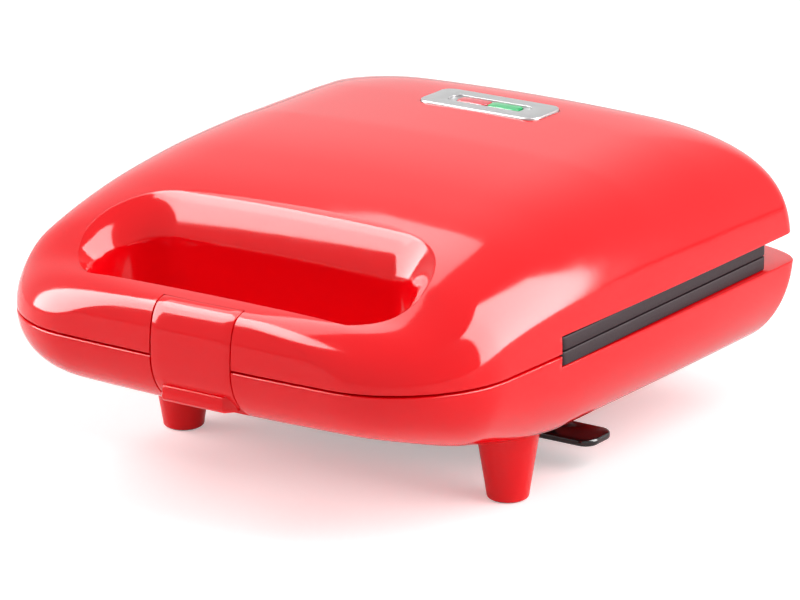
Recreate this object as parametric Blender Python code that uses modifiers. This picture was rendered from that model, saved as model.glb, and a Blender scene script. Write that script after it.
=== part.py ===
"""Sandwich maker with a hinged lid, a latch on its handle bar and two fixed cooking plates.

Metres, +Z up. The front, with the handle bar, faces -Y. The origin is the middle of the
footprint, on the surface that the feet stand on. Distances that are said to run from the
front are measured from the handle bar's front edge towards the rear.
"""

import math

import bmesh
import bpy
import numpy as np
from mathutils import Matrix, Vector

# Overall form
WIDTH = 0.219
DEPTH = 0.2555
PARTING_HEIGHT = 0.0643
LID_RISE = 0.0519
BOWL_DROP = 0.039
LID_REAR_STEP = 0.0025
WALL = 0.0025
FIT = 0.0003
CUT_OVERRUN = 0.01

# Plan outline of both housings
FRONT_CORNER_ACROSS = 0.046
FRONT_CORNER_ALONG = 0.0435
REAR_CORNER_ACROSS = 0.038
REAR_CORNER_ALONG = 0.016
FRONT_BOW = 0.0039
FRONT_TAPER_SHARE = 0.055
CORNER_SHRINK_SHARE = 0.45
EDGE_STEPS = 4
CORNER_STEPS = 6
SIDE_STEPS = 4

# Rounding of the lid and of the bowl, from the outline up or down to the crown
LID_ROLL_FRONT = 0.0095
LID_ROLL_SIDE = 0.0365
LID_ROLL_REAR = 0.040
LID_ROLL_POWER = 2.2
BOWL_ROLL_FRONT = 0.0195
BOWL_ROLL_SIDE = 0.0225
BOWL_ROLL_REAR = 0.017
BOWL_ROLL_POWER = 2.05
LID_DOME_SHARE = 0.11
BOWL_DOME_SHARE = 0.05
ROLL_SHARES = (0.0, 0.025, 0.09, 0.2, 0.36, 0.56, 0.78, 1.0)
CROWN_RING_SHARES = (0.87, 0.74, 0.6, 0.44, 0.24)

# Crown lines from front to rear: share of the depth, share of the rise or drop
LID_CROWN_SHARES = (
    (0.0, 0.372), (0.047, 0.405), (0.095, 0.44), (0.172, 0.71), (0.275, 0.885),
    (0.39, 0.945), (0.58, 1.0), (0.765, 0.97), (1.0, 0.955),
)
BOWL_CROWN_SHARES = (
    (0.0, 0.54), (0.055, 0.555), (0.172, 0.735), (0.3, 0.925), (0.39, 1.0), (0.7, 1.0), (1.0, 1.0),
)

# Band between the housings where the plates show
BAND_FRONT = 0.0812
BAND_RISE = 0.0070
BAND_DROP = 0.0044

# Finger opening behind the handle bar
BAR_DEPTH = 0.024
OPENING_WIDTH = 0.133
OPENING_REAR = 0.0565
OPENING_FRONT_RADIUS = 0.013
OPENING_REAR_RADIUS = 0.018
RIM_ACROSS = 0.0095
RIM_DOWN = 0.011
RIM_FLARE = 0.0018
RIM_END = math.radians(68)
RIM_STEPS = 4
OUTLINE_STEP = 0.018
ARC_STEPS = 6

# Cooking plates
PLATE_SIDE_SETBACK = 0.00275
PLATE_REAR_SETBACK = 0.0302
PLATE_CORNER = 0.006
PLATE_SPLIT_RISE = 0.0013
PLATE_SPLIT = 0.0006
PLATE_LEDGE = 0.008
TUB_HEIGHT = 0.0095
POCKET_DEPTH = 0.0115
POCKET_RIM = 0.012
RIDGE = 0.007
POCKET_RADIUS = 0.009
POCKET_TAPER_SHARE = 0.84

# Heating elements and heat shields
ELEMENT_RADIUS = 0.0033
ELEMENT_SETBACK = 0.0245
ELEMENT_BEND = 0.022
ELEMENT_GAP = 0.026
SHIELD_GAP = 0.003
SHIELD_SHEET = 0.001
SHIELD_INSET = 0.008
POST_RADIUS = 0.004
POST_SIDE_SETBACK = 0.0415
POST_FROM_FRONT = 0.108
POST_REAR_SETBACK = 0.0595

# Hinge at the rear
HINGE_INSET = 0.0068
HINGE_SIDE_SETBACK = 0.0515
HINGE_LIFT = 0.0004
KNUCKLE_RADIUS = 0.0048
HINGE_PIN_RADIUS = 0.002
ARM_WIDTH = 0.012
EAR_WIDTH = 0.004
EAR_LEG_DEPTH = 0.0065
ARM_LEG_FORWARD = 0.0095
ARM_LEG_DEPTH = 0.0075
BRACKET_PLATE = 0.003
BRACKET_REACH = 0.009
HINGE_CLEARANCE = 0.0006
PIN_HEAD_RADIUS = 0.0034
PIN_HEAD = 0.0014

# Latch on the handle bar
LATCH_WIDTH = 0.0352
LATCH_SHEET = 0.003
LATCH_SEAM = 0.0005
LATCH_RECESS = 0.0145
LATCH_PIN_BACK = 0.0085
LATCH_PIN_RISE = 0.0128
LATCH_PIN_RADIUS = 0.0015
LATCH_LIP_WIDTH = 0.029
LATCH_LIP_OUT = 0.003
LATCH_LIP_DROP = 0.0022
LATCH_END_SHARE = 0.46
LATCH_LIP_TOP_SHARE = 0.215
LATCH_INNER_SHARE = 0.06
LATCH_ARC_END = math.radians(150)
LATCH_ARC_STEPS = 10

# Indicator panel on the lid
PANEL_REAR_SETBACK = 0.0605
PANEL_WIDTH = 0.054
PANEL_DEPTH = 0.022
PANEL_CORNER = 0.005
PANEL_SHEET = 0.0022
PANEL_PROUD = 0.0006
PANEL_BED = 0.0045
PANEL_BED_MARGIN = 0.004
SLOT_WIDTH = 0.036
SLOT_DEPTH = 0.0085
LENS_HEIGHT = 0.0034
LENS_PROUD = 0.0004
LAMP_RADIUS = 0.0024
LAMP_LENGTH = 0.010
HOLDER_HEIGHT = 0.007
HOLDER_LEDGE = 0.005

# Thermostat and thermal fuse on the upper plate
CONTROLS_ACROSS = 0.052
THERMOSTAT_RADIUS = 0.008
THERMOSTAT_HEIGHT = 0.006
THERMOSTAT_NECK_RADIUS = 0.0055
THERMOSTAT_NECK_SHARE = 0.55
FUSE_RADIUS = 0.0022
FUSE_LENGTH = 0.022
FUSE_TAPER = 0.0016

# Feet
FOOT_TOP_RADIUS = 0.0136
FOOT_BOTTOM_RADIUS = 0.0083
FOOT_SIDE_SETBACK = 0.0349
FOOT_FROM_FRONT = 0.0944
FOOT_REAR_ACROSS = 0.060
FOOT_REAR_SETBACK = 0.041
FOOT_BOSS = 0.0085
FOOT_BOSS_MARGIN = 0.0004
PAD_RADIUS = 0.0068
PAD_HEIGHT = 0.0026
PAD_PROUD = 0.0008
SCREW_RADIUS = 0.0016
SCREW_HEAD_RADIUS = 0.0032
SCREW_HEAD = 0.0018
FOOT_SCREW_SEAT = 0.012
FOOT_SCREW_GRIP = 0.006
FOOT_WELL_RADIUS = 0.0038

# Base cover under the bowl
COVER_HOOK_GAP = 0.0025
COVER_FROM_FRONT = 0.104
COVER_REAR_SETBACK = 0.0595
COVER_CORNER = 0.008
COVER_SHEET = 0.0012
COVER_LEDGE = 0.007
COVER_SCREW_LENGTH = 0.006

# Cord-storage hooks under the base
HOOK_FROM_FRONT = 0.1406
HOOK_TIP_SETBACK = 0.0227
HOOK_ROOT_SETBACK = 0.057
HOOK_WIDTH = 0.018
HOOK_SHEET = 0.003
HOOK_GAP = 0.0117
HOOK_POST = 0.009
HOOK_POST_INSET = 0.001
HOOK_WELL = 0.0045
HOOK_SEAT = 0.003

# Cord gland in the rear wall of the base
GLAND_DROP = 0.0288
GLAND_RADIUS = 0.006
GLAND_FLANGE_RADIUS = 0.0085
GLAND_FLANGE = 0.0016
GLAND_BORE_RADIUS = 0.0034
GLAND_LENGTH = 0.012
GLAND_BOSS_RADIUS = 0.0100
GLAND_BOSS_INSET = 0.0020
GLAND_BOSS_LENGTH = 0.018

# Number of sides of round pieces
FINE_SIDES = 24
ROUND_SIDES = 16
SMALL_SIDES = 10
BEVEL_STEPS = 1
SHARP_ANGLE = math.radians(40)
MERGE_DISTANCE = 0.00001

FRONT = -DEPTH / 2
REAR = DEPTH / 2
LID_REAR = REAR - LID_REAR_STEP
PLATE_SPLIT_Z = PARTING_HEIGHT + PLATE_SPLIT_RISE
PLATE_WIDTH = WIDTH - 2 * PLATE_SIDE_SETBACK
PLATE_DEPTH = DEPTH - BAND_FRONT - PLATE_REAR_SETBACK
PLATE_CENTRE = FRONT + BAND_FRONT + PLATE_DEPTH / 2
LID_EDGE_Z = PARTING_HEIGHT + BAND_RISE
BOWL_EDGE_Z = PARTING_HEIGHT - BAND_DROP
UNDERSIDE_Z = PARTING_HEIGHT - BOWL_DROP
HINGE_SPREAD = WIDTH - 2 * HINGE_SIDE_SETBACK
HINGE_Y = REAR - HINGE_INSET
HINGE_Z = (LID_EDGE_Z + BOWL_EDGE_Z) / 2 + HINGE_LIFT
LATCH_PIN_Y = FRONT + LATCH_PIN_BACK
LATCH_PIN_Z = PARTING_HEIGHT + LATCH_PIN_RISE
LATCH_AXIS = (LATCH_PIN_Y, LATCH_PIN_Z)
HINGE_AXIS = (HINGE_Y, HINGE_Z)
PANEL_Y = REAR - PANEL_REAR_SETBACK
HOOK_TIP = WIDTH / 2 - HOOK_TIP_SETBACK
HOOK_ROOT = WIDTH / 2 - HOOK_ROOT_SETBACK
COVER_WIDTH = 2 * (HOOK_ROOT - COVER_HOOK_GAP)
COVER_FRONT = FRONT + COVER_FROM_FRONT
COVER_REAR = REAR - COVER_REAR_SETBACK
GLAND_Z = PARTING_HEIGHT - GLAND_DROP


class Half:
    """Size of one housing: which way it goes from the parting plane, and how it rounds."""

    def __init__(self, way, height, dome, crown_shares, rolls, power, rear):
        self.way = way
        self.height = height
        self.dome = dome
        self.crown_shares = crown_shares
        self.roll_front, self.roll_side, self.roll_rear = rolls
        self.power = power
        self.rear = rear

    def crown(self, y):
        """Height of the middle line over y: a smooth curve through the table of shares."""
        knots = np.array(self.crown_shares)
        at = FRONT + knots[:, 0] * DEPTH
        value = knots[:, 1] * self.height
        slope = np.gradient(value, at)
        y = np.clip(y, at[0], at[-1])
        i = np.clip(np.searchsorted(at, y) - 1, 0, len(at) - 2)
        span = at[i + 1] - at[i]
        t = (y - at[i]) / span
        rise = value[i + 1] - value[i]
        bend_in = slope[i] * span - rise
        bend_out = rise - slope[i + 1] * span
        height = value[i] + rise * t + t * (1 - t) * (bend_in * (1 - t) + bend_out * t)
        return np.minimum(height, self.height)

    def rounding(self, share):
        """Share of the crown height reached at a share of the roll's width."""
        return (1 - (1 - share) ** self.power) ** (1 / self.power)

    def surface(self, x, y, share, wall):
        """Height from the parting plane, always positive, inside a wall."""
        dome = 1 - self.dome * (x / (WIDTH / 2)) ** 2
        return wall + (self.crown(y) * dome - 2 * wall) * self.rounding(share)

    def skin(self, x, y):
        """Height of the outer skin over a point inside the outline, always positive."""
        from_side = (WIDTH / 2 * (1 - FRONT_TAPER_SHARE) - np.abs(x)) / self.roll_side
        from_front = (y - FRONT) / self.roll_front
        share = np.clip(np.minimum(from_side, from_front), 0, 1)
        return self.surface(x, y, share, 0.0)

    def front_point(self, share):
        """Distance from the front and signed height of the middle section."""
        distance = self.roll_front * share
        height = self.crown(np.array(FRONT + distance)) * self.rounding(share)
        return distance, self.way * float(height)


LID_ROLLS = (LID_ROLL_FRONT, LID_ROLL_SIDE, LID_ROLL_REAR)
BOWL_ROLLS = (BOWL_ROLL_FRONT, BOWL_ROLL_SIDE, BOWL_ROLL_REAR)
LID = Half(1, LID_RISE, LID_DOME_SHARE, LID_CROWN_SHARES, LID_ROLLS, LID_ROLL_POWER, LID_REAR)
BOWL = Half(-1, BOWL_DROP, BOWL_DOME_SHARE, BOWL_CROWN_SHARES, BOWL_ROLLS, BOWL_ROLL_POWER, REAR)


def clear_scene():
    for obj in list(bpy.data.objects):
        bpy.data.objects.remove(obj)


def new_collection(name):
    collection = bpy.data.collections.new(name)
    bpy.context.scene.collection.children.link(collection)
    return collection


def new_material(name, colour, roughness, metallic=0.0):
    material = bpy.data.materials.new(name)
    material.use_nodes = True
    shader = material.node_tree.nodes["Principled BSDF"]
    shader.inputs["Base Color"].default_value = (*colour, 1.0)
    shader.inputs["Roughness"].default_value = roughness
    shader.inputs["Metallic"].default_value = metallic
    material.diffuse_color = (*colour, 1.0)
    return material


clear_scene()
PARTS = new_collection("sandwich_maker")
CUTTERS = new_collection("cutters")
RED = new_material("red_housing", (0.62, 0.003, 0.006), 0.12)
PLATE_GREY = new_material("plate_coating", (0.045, 0.04, 0.043), 0.55)
BLACK = new_material("black_plastic", (0.012, 0.012, 0.012), 0.25)
RUBBER = new_material("rubber", (0.02, 0.02, 0.02), 0.8)
SILVER = new_material("silver_panel", (0.6, 0.6, 0.6), 0.3, 0.9)
STEEL = new_material("steel", (0.5, 0.5, 0.5), 0.35, 1.0)
SHEET = new_material("shield_sheet", (0.66, 0.66, 0.68), 0.3, 1.0)
RED_LENS = new_material("red_lens", (0.62, 0.06, 0.09), 0.15)
GREEN_LENS = new_material("green_lens", (0.03, 0.55, 0.18), 0.15)
CERAMIC = new_material("ceramic", (0.75, 0.72, 0.66), 0.6)
GLASS = new_material("lamp_glass", (0.85, 0.82, 0.8), 0.1)


def place(name, mesh, material=None):
    """Adds a mesh as a named part, or as a cutter where it has no material."""
    obj = bpy.data.objects.new(name, mesh)
    if material is None:
        CUTTERS.objects.link(obj)
        obj.hide_render = True
        obj.display_type = "WIRE"
    else:
        PARTS.objects.link(obj)
        mesh.materials.clear()
        mesh.materials.append(material)
    return obj


def mesh_from(bm, name):
    bmesh.ops.recalc_face_normals(bm, faces=bm.faces)
    mesh = bpy.data.meshes.new(name)
    bm.to_mesh(mesh)
    bm.free()
    return mesh


def box(name, low, high, material=None):
    low, high = Vector(low), Vector(high)
    bm = bmesh.new()
    bmesh.ops.create_cube(bm, size=1.0)
    bmesh.ops.scale(bm, vec=high - low, verts=bm.verts)
    obj = place(name, mesh_from(bm, name), material)
    obj.location = (low + high) / 2
    return obj


def cone(name, base, top, base_radius, top_radius, sides, material=None):
    """A round piece from the point base to the point top."""
    base, top = Vector(base), Vector(top)
    bm = bmesh.new()
    bmesh.ops.create_cone(
        bm,
        cap_ends=True,
        segments=sides,
        radius1=base_radius,
        radius2=top_radius,
        depth=(top - base).length,
    )
    mesh = mesh_from(bm, name)
    mesh.shade_smooth()
    mesh.set_sharp_from_angle(angle=SHARP_ANGLE)
    obj = place(name, mesh, material)
    obj.location = (base + top) / 2
    obj.rotation_euler = (top - base).to_track_quat("Z", "Y").to_euler()
    return obj


def rod(name, base, top, radius, sides, material=None):
    return cone(name, base, top, radius, radius, sides, material)


def upright(name, place_xy, low, high, radius, sides, material=None):
    """A rod along Z over a place in plan."""
    return rod(name, (*place_xy, low), (*place_xy, high), radius, sides, material)


def crosswise(name, low, high, axis_yz, radius, material=None):
    """A rod along X on an axis given by its Y and Z."""
    return rod(name, (low, *axis_yz), (high, *axis_yz), radius, ROUND_SIDES, material)


def turned(name, profile, sides, location, direction, material=None):
    """A turned piece. Its (radius, height) points run down its outer side, closed on the axis or a ring."""
    mesh = bpy.data.meshes.new(name)
    points = [(radius, 0.0, height) for radius, height in profile]
    ring = profile[0][0] > 0 and profile[-1][0] > 0
    edges = [(i, i + 1) for i in range(len(points) - 1)]
    if ring:
        edges.append((len(points) - 1, 0))
    mesh.from_pydata(points, edges, [])
    obj = place(name, mesh, material)
    screw = obj.modifiers.new("turn", "SCREW")
    screw.axis = "Z"
    screw.steps = sides
    screw.render_steps = sides
    screw.use_merge_vertices = True
    screw.merge_threshold = MERGE_DISTANCE
    screw.use_smooth_shade = True
    obj.location = location
    obj.rotation_euler = Vector(direction).to_track_quat("Z", "Y").to_euler()
    return obj


def prism(name, outline, low, high, material=None, along="Z"):
    """A flat outline drawn out from low to high along Z, or along X with the outline in Y and Z."""
    curve = bpy.data.curves.new(name, "CURVE")
    curve.dimensions = "2D"
    curve.fill_mode = "BOTH"
    curve.extrude = (high - low) / 2
    spline = curve.splines.new("POLY")
    spline.points.add(len(outline) - 1)
    for point, (u, v) in zip(spline.points, outline):
        point.co = (u, v, 0.0, 1.0)
    spline.use_cyclic_u = True
    drawn = bpy.data.objects.new(name + "_outline", curve)
    PARTS.objects.link(drawn)
    bpy.context.view_layer.update()
    mesh = bpy.data.meshes.new_from_object(drawn.evaluated_get(bpy.context.evaluated_depsgraph_get()))
    bpy.data.objects.remove(drawn)
    bm = bmesh.new()
    bm.from_mesh(mesh)
    bmesh.ops.remove_doubles(bm, verts=bm.verts, dist=MERGE_DISTANCE)
    obj = place(name, mesh_from(bm, name), material)
    middle = (low + high) / 2
    if along == "X":
        obj.rotation_euler = (math.radians(90), 0.0, math.radians(90))
        obj.location = (middle, 0.0, 0.0)
    else:
        obj.location = (0.0, 0.0, middle)
    return obj


def loft(name, rings, tip=None, material=None):
    """A closed skin through rings of as many points each, flat at its ends or drawn to a tip."""
    bm = bmesh.new()
    rows = [[bm.verts.new(point) for point in ring] for ring in rings]
    count = len(rows[0])
    for lower, upper in zip(rows, rows[1:]):
        for i in range(count):
            j = (i + 1) % count
            bm.faces.new((lower[i], lower[j], upper[j], upper[i]))
    bm.faces.new(rows[0])
    if tip is None:
        bm.faces.new(rows[-1])
    else:
        peak = bm.verts.new(tip)
        for i in range(count):
            bm.faces.new((rows[-1][i], rows[-1][(i + 1) % count], peak))
    bmesh.ops.triangulate(bm, faces=bm.faces)
    obj = place(name, mesh_from(bm, name), material)
    obj["lofted"] = True
    return obj


def boolean(target, other, operation):
    """Cuts or joins two closed pieces. EXACT loses faces of a lofted skin, and MANIFOLD keeps them."""
    modifier = target.modifiers.new(other.name, "BOOLEAN")
    modifier.operation = operation
    modifier.object = other
    modifier.solver = "MANIFOLD" if "lofted" in target else "EXACT"


def cut(target, *cutters):
    for cutter in cutters:
        boolean(target, cutter, "DIFFERENCE")


def join(target, *others):
    for other in others:
        boolean(target, other, "UNION")


def rounded(corners, radii):
    """Outline of a convex polygon with each corner turned into an arc of its radius."""
    points = []
    count = len(corners)
    for i, radius in enumerate(radii):
        corner = Vector(corners[i])
        back = (Vector(corners[i - 1]) - corner).normalized()
        ahead = (Vector(corners[(i + 1) % count]) - corner).normalized()
        half = back.angle(ahead) / 2
        centre = corner + (back + ahead).normalized() * radius / math.sin(half)
        start = corner + back * radius / math.tan(half) - centre
        end = corner + ahead * radius / math.tan(half) - centre
        turn = start.angle_signed(end)
        for step in range(ARC_STEPS + 1):
            points.append(centre + Matrix.Rotation(-turn * step / ARC_STEPS, 2) @ start)
    return [(point.x, point.y) for point in points]


def rectangle(half_width, front, rear, front_radius, rear_radius):
    corners = ((-half_width, front), (half_width, front), (half_width, rear), (-half_width, rear))
    return rounded(corners, (front_radius, front_radius, rear_radius, rear_radius))


def plan_ring(half, inset, share):
    """Plan outline of a housing, drawn in by an inset all round and by a share of its roll."""
    across = WIDTH / 2 - inset - half.roll_side * share
    front = FRONT + inset + half.roll_front * share
    rear = half.rear - inset - half.roll_rear * share
    keep = 1 - CORNER_SHRINK_SHARE * share
    front_across, front_along = FRONT_CORNER_ACROSS * keep, FRONT_CORNER_ALONG * keep
    rear_across, rear_along = REAR_CORNER_ACROSS * keep, REAR_CORNER_ALONG * keep
    turn = np.linspace(0, math.pi / 2, CORNER_STEPS + 1)
    side = np.linspace(front + front_along, rear - rear_along, SIDE_STEPS + 1)[1:-1]
    x = np.concatenate((
        np.linspace(0, across - front_across, EDGE_STEPS, endpoint=False),
        across - front_across * (1 - np.sin(turn)),
        np.full(len(side), across),
        across - rear_across * (1 - np.cos(turn)),
        np.linspace(across - rear_across, 0, EDGE_STEPS + 1)[1:],
    ))
    y = np.concatenate((
        np.full(EDGE_STEPS, front),
        front + front_along * (1 - np.cos(turn)),
        side,
        rear - rear_along * (1 - np.sin(turn)),
        np.full(EDGE_STEPS, rear),
    ))
    along = (y - front) / (rear - front)
    y = y + FRONT_BOW * (x / across) ** 2 * (1 - along)
    x = x * (1 - FRONT_TAPER_SHARE * (1 - along) ** 2)
    return np.concatenate((x, -x[-2:0:-1])), np.concatenate((y, y[-2:0:-1]))


def half_body(name, half, wall, material=None):
    """The solid form of a housing, or of its hollow where a wall is given, about the parting plane."""
    rings = []
    for share in ROLL_SHARES:
        x, y = plan_ring(half, wall, share)
        rings.append(np.stack((x, y, half.way * half.surface(x, y, share, wall)), axis=1))
    middle = (y.min() + y.max()) / 2
    for share in CROWN_RING_SHARES:
        ring_x, ring_y = x * share, middle + (y - middle) * share
        height = half.way * half.surface(ring_x, ring_y, 1.0, wall)
        rings.append(np.stack((ring_x, ring_y, height), axis=1))
    peak = float(half.surface(np.array(0.0), np.array(middle), 1.0, wall))
    obj = loft(name, rings, (0.0, middle, half.way * peak), material)
    obj.location.z = PARTING_HEIGHT
    return obj


def subdivided(outline):
    """The same outline with points added where two lie more than a step apart."""
    points = []
    for start, end in zip(outline, outline[1:] + outline[:1]):
        count = max(1, round(math.dist(start, end) / OUTLINE_STEP))
        points += [(start[0] + (end[0] - start[0]) * i / count, start[1] + (end[1] - start[1]) * i / count)
                   for i in range(count)]
    return np.array(points)


def opening_outline(grow):
    """Outline of the finger opening's wall, grown outwards."""
    front, rear = FRONT + BAR_DEPTH, FRONT + OPENING_REAR
    outline = subdivided(rectangle(OPENING_WIDTH / 2, front, rear, OPENING_FRONT_RADIUS, OPENING_REAR_RADIUS))
    ahead = np.roll(outline, -1, axis=0) - np.roll(outline, 1, axis=0)
    outward = np.stack((ahead[:, 1], -ahead[:, 0]), axis=1)
    return outline + grow * outward / np.linalg.norm(outward, axis=1)[:, None]


def opening_cutter(name, half, wall):
    """The finger opening with its rolled rim, or the same grown by a wall."""
    rim = opening_outline(RIM_ACROSS)
    rim_height = half.skin(rim[:, 0], rim[:, 1])
    levels = [(wall, None)]
    for turn in np.linspace(0, RIM_END, RIM_STEPS + 1):
        across = RIM_ACROSS - (RIM_ACROSS - wall) * math.cos(turn)
        down = RIM_DOWN - (RIM_DOWN - wall) * math.sin(turn)
        levels.append((across, rim_height - down))
    levels.append((RIM_ACROSS + RIM_FLARE, rim_height + RIM_FLARE - wall))
    levels.append((RIM_ACROSS + RIM_FLARE, np.full(len(rim), half.height + CUT_OVERRUN)))
    rings = []
    for grow, height in levels:
        outline = opening_outline(grow)
        height = np.full(len(outline), -CUT_OVERRUN) if height is None else height
        rings.append(np.column_stack((outline, PARTING_HEIGHT + half.way * height)))
    return loft(name, rings)


def band_cutter(name, half, wall):
    """Takes away what lies beyond the housing's edge along the plates and the rear."""
    edge = LID_EDGE_Z + wall if half.way > 0 else BOWL_EDGE_Z - wall
    far = edge - half.way * (BAND_RISE + BAND_DROP + 2 * CUT_OVERRUN)
    reach = WIDTH / 2 + CUT_OVERRUN
    low = (-reach, FRONT + BAND_FRONT - wall, min(edge, far))
    high = (reach, REAR + CUT_OVERRUN, max(edge, far))
    return box(name, low, high)


def latch_block(name, half):
    """What stays solid in the middle of the handle bar, round the latch's recess."""
    reach = LATCH_WIDTH / 2 + LATCH_SEAM + WALL
    low = (-reach, FRONT - CUT_OVERRUN, UNDERSIDE_Z - CUT_OVERRUN)
    high = (reach, FRONT + BAR_DEPTH, PARTING_HEIGHT + LID_RISE + CUT_OVERRUN)
    return box(name, low, high)


def latch_head_radius():
    share = LATCH_PIN_BACK / LID_ROLL_FRONT
    return LID.front_point(share)[1] - LATCH_PIN_RISE


def cut_latch_recess(housing, prefix):
    reach = LATCH_WIDTH / 2 + LATCH_SEAM
    low = (-reach, FRONT - CUT_OVERRUN, UNDERSIDE_Z - CUT_OVERRUN)
    high = (reach, FRONT + LATCH_RECESS, LATCH_PIN_Z)
    nose_high = (reach, LATCH_PIN_Y, PARTING_HEIGHT + LID_RISE)
    clear = latch_head_radius() + LATCH_SEAM
    cut(
        housing,
        box(prefix + "_latch_recess", low, high),
        box(prefix + "_latch_nose", low, nose_high),
        crosswise(prefix + "_latch_head", -reach, reach, LATCH_AXIS, clear),
    )


def hollow_cutter(name, half):
    """The inside of a housing, clear of the finger opening's walls and of the latch's block."""
    hollow = half_body(name, half, WALL)
    cut(
        hollow,
        band_cutter(name + "_band", half, WALL),
        opening_cutter(name + "_opening", half, WALL),
        latch_block(name + "_latch", half),
    )
    return hollow


def plate_well(name, half):
    """The way through the housing's deck for the plate's tub."""
    reach = PLATE_WIDTH / 2 - PLATE_LEDGE
    edge = LID_EDGE_Z if half.way > 0 else BOWL_EDGE_Z
    low = (-reach, PLATE_CENTRE - PLATE_DEPTH / 2 + PLATE_LEDGE, edge - WALL - CUT_OVERRUN)
    high = (reach, PLATE_CENTRE + PLATE_DEPTH / 2 - PLATE_LEDGE, edge + WALL + CUT_OVERRUN)
    return box(name, low, high)


def shield_levels(half):
    """Levels of a heat shield: inner face of its floor, outer face of its floor, edge of its wall."""
    tub = plate_levels(half)[2]
    inner = tub + half.way * (FIT + 2 * ELEMENT_RADIUS + SHIELD_GAP)
    outer = inner + half.way * SHIELD_SHEET
    edge = tub + half.way * FIT
    return inner, outer, edge


def plate_levels(half):
    """Levels of a plate: cooking face, back of its flange, back of its tub."""
    face = PLATE_SPLIT_Z + half.way * PLATE_SPLIT / 2
    flange = (LID_EDGE_Z if half.way > 0 else BOWL_EDGE_Z) - half.way * FIT
    return face, flange, flange + half.way * TUB_HEIGHT


def foot_places():
    across, rear_across = WIDTH / 2 - FOOT_SIDE_SETBACK, FOOT_REAR_ACROSS / 2
    front, rear = FRONT + FOOT_FROM_FRONT, REAR - FOOT_REAR_SETBACK
    return {
        "front_left": (-across, front),
        "front_right": (across, front),
        "rear_left": (-rear_across, rear),
        "rear_right": (rear_across, rear),
    }


def add_posts(housing, half, prefix):
    """Posts between the housing's wall and the heat shield."""
    end = shield_levels(half)[1] + half.way * FIT
    across = WIDTH / 2 - POST_SIDE_SETBACK
    for x in (-across, across):
        for name, y in (("front", FRONT + POST_FROM_FRONT), ("rear", REAR - POST_REAR_SETBACK)):
            root = PARTING_HEIGHT + half.way * (float(half.skin(np.array(x), np.array(y))) - WALL / 2)
            side = "left" if x < 0 else "right"
            post = upright(f"{prefix}_post_{name}_{side}", (x, y), root, end, POST_RADIUS, SMALL_SIDES)
            join(housing, post)


def hinge_places():
    return {"left": -HINGE_SPREAD / 2, "right": HINGE_SPREAD / 2}


def cut_hinge_slots(housing, half, prefix):
    """Slots in the deck for the hinge's ears or arms."""
    edge = LID_EDGE_Z if half.way > 0 else BOWL_EDGE_Z
    if half.way > 0:
        reach = ARM_WIDTH / 2 + HINGE_CLEARANCE
        front = HINGE_Y - ARM_LEG_FORWARD - HINGE_CLEARANCE
        rear = front + ARM_LEG_DEPTH + 2 * HINGE_CLEARANCE
    else:
        reach = ARM_WIDTH / 2 + EAR_WIDTH + 2 * HINGE_CLEARANCE
        front = HINGE_Y - KNUCKLE_RADIUS - HINGE_CLEARANCE
        rear = front + EAR_LEG_DEPTH + 2 * HINGE_CLEARANCE
    for side, x in hinge_places().items():
        low = (x - reach, front, edge - WALL - FIT)
        high = (x + reach, rear, edge + WALL + FIT)
        cut(housing, box(f"{prefix}_hinge_slot_{side}", low, high))


def panel_top():
    """Level of the lid's skin in the middle of the indicator panel."""
    return PARTING_HEIGHT + float(LID.surface(np.array(0.0), np.array(PANEL_Y), 1.0, 0.0))


def panel_outline(grow):
    half_depth = PANEL_DEPTH / 2 + grow
    radius = PANEL_CORNER + grow
    return rectangle(PANEL_WIDTH / 2 + grow, PANEL_Y - half_depth, PANEL_Y + half_depth, radius, radius)


def slot_outline(grow):
    half_depth = SLOT_DEPTH / 2 + grow
    radius = SLOT_DEPTH / 2 - FIT
    return rectangle(SLOT_WIDTH / 2 + grow, PANEL_Y - half_depth, PANEL_Y + half_depth, radius, radius)


def build_upper_housing():
    housing = half_body("upper_housing", LID, 0.0, RED)
    cut(
        housing,
        band_cutter("lid_band", LID, 0.0),
        hollow_cutter("lid_hollow", LID),
        opening_cutter("lid_opening", LID, 0.0),
        plate_well("lid_plate_well", LID),
    )
    cut_latch_recess(housing, "lid")
    add_posts(housing, LID, "lid")
    cut_hinge_slots(housing, LID, "lid")
    top = panel_top()
    bed_low = top - PANEL_BED
    margin = PANEL_BED_MARGIN
    bed = box(
        "panel_bed",
        (-PANEL_WIDTH / 2 - margin, PANEL_Y - PANEL_DEPTH / 2 - margin, bed_low),
        (PANEL_WIDTH / 2 + margin, PANEL_Y + PANEL_DEPTH / 2 + margin, top - WALL / 2),
    )
    join(housing, bed)
    seat = top + PANEL_PROUD - PANEL_SHEET - FIT
    cut(
        housing,
        prism("panel_seat", panel_outline(FIT), seat, top + CUT_OVERRUN),
        prism("panel_light_way", slot_outline(FIT), bed_low - FIT, top + CUT_OVERRUN),
    )
    pin_reach = LATCH_WIDTH / 2 + LATCH_SEAM + WALL + FIT
    cut(housing, crosswise("latch_pin_seats", -pin_reach, pin_reach, LATCH_AXIS, LATCH_PIN_RADIUS + FIT))
    return housing


def gland_place():
    """Where the gland's flange sits, on the flat end of its boss."""
    return REAR - GLAND_BOSS_INSET


def cover_outline(grow):
    radius = COVER_CORNER + grow
    return rectangle(COVER_WIDTH / 2 + grow, COVER_FRONT - grow, COVER_REAR + grow, radius, radius)


def cover_screw_places():
    x = COVER_WIDTH / 2 - COVER_LEDGE / 2
    front = COVER_FRONT + COVER_LEDGE / 2
    rear = COVER_REAR - COVER_LEDGE / 2
    return {
        "front_left": (-x + COVER_CORNER, front),
        "front_right": (x - COVER_CORNER, front),
        "rear_left": (-x + COVER_CORNER, rear),
        "rear_right": (x - COVER_CORNER, rear),
    }


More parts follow.
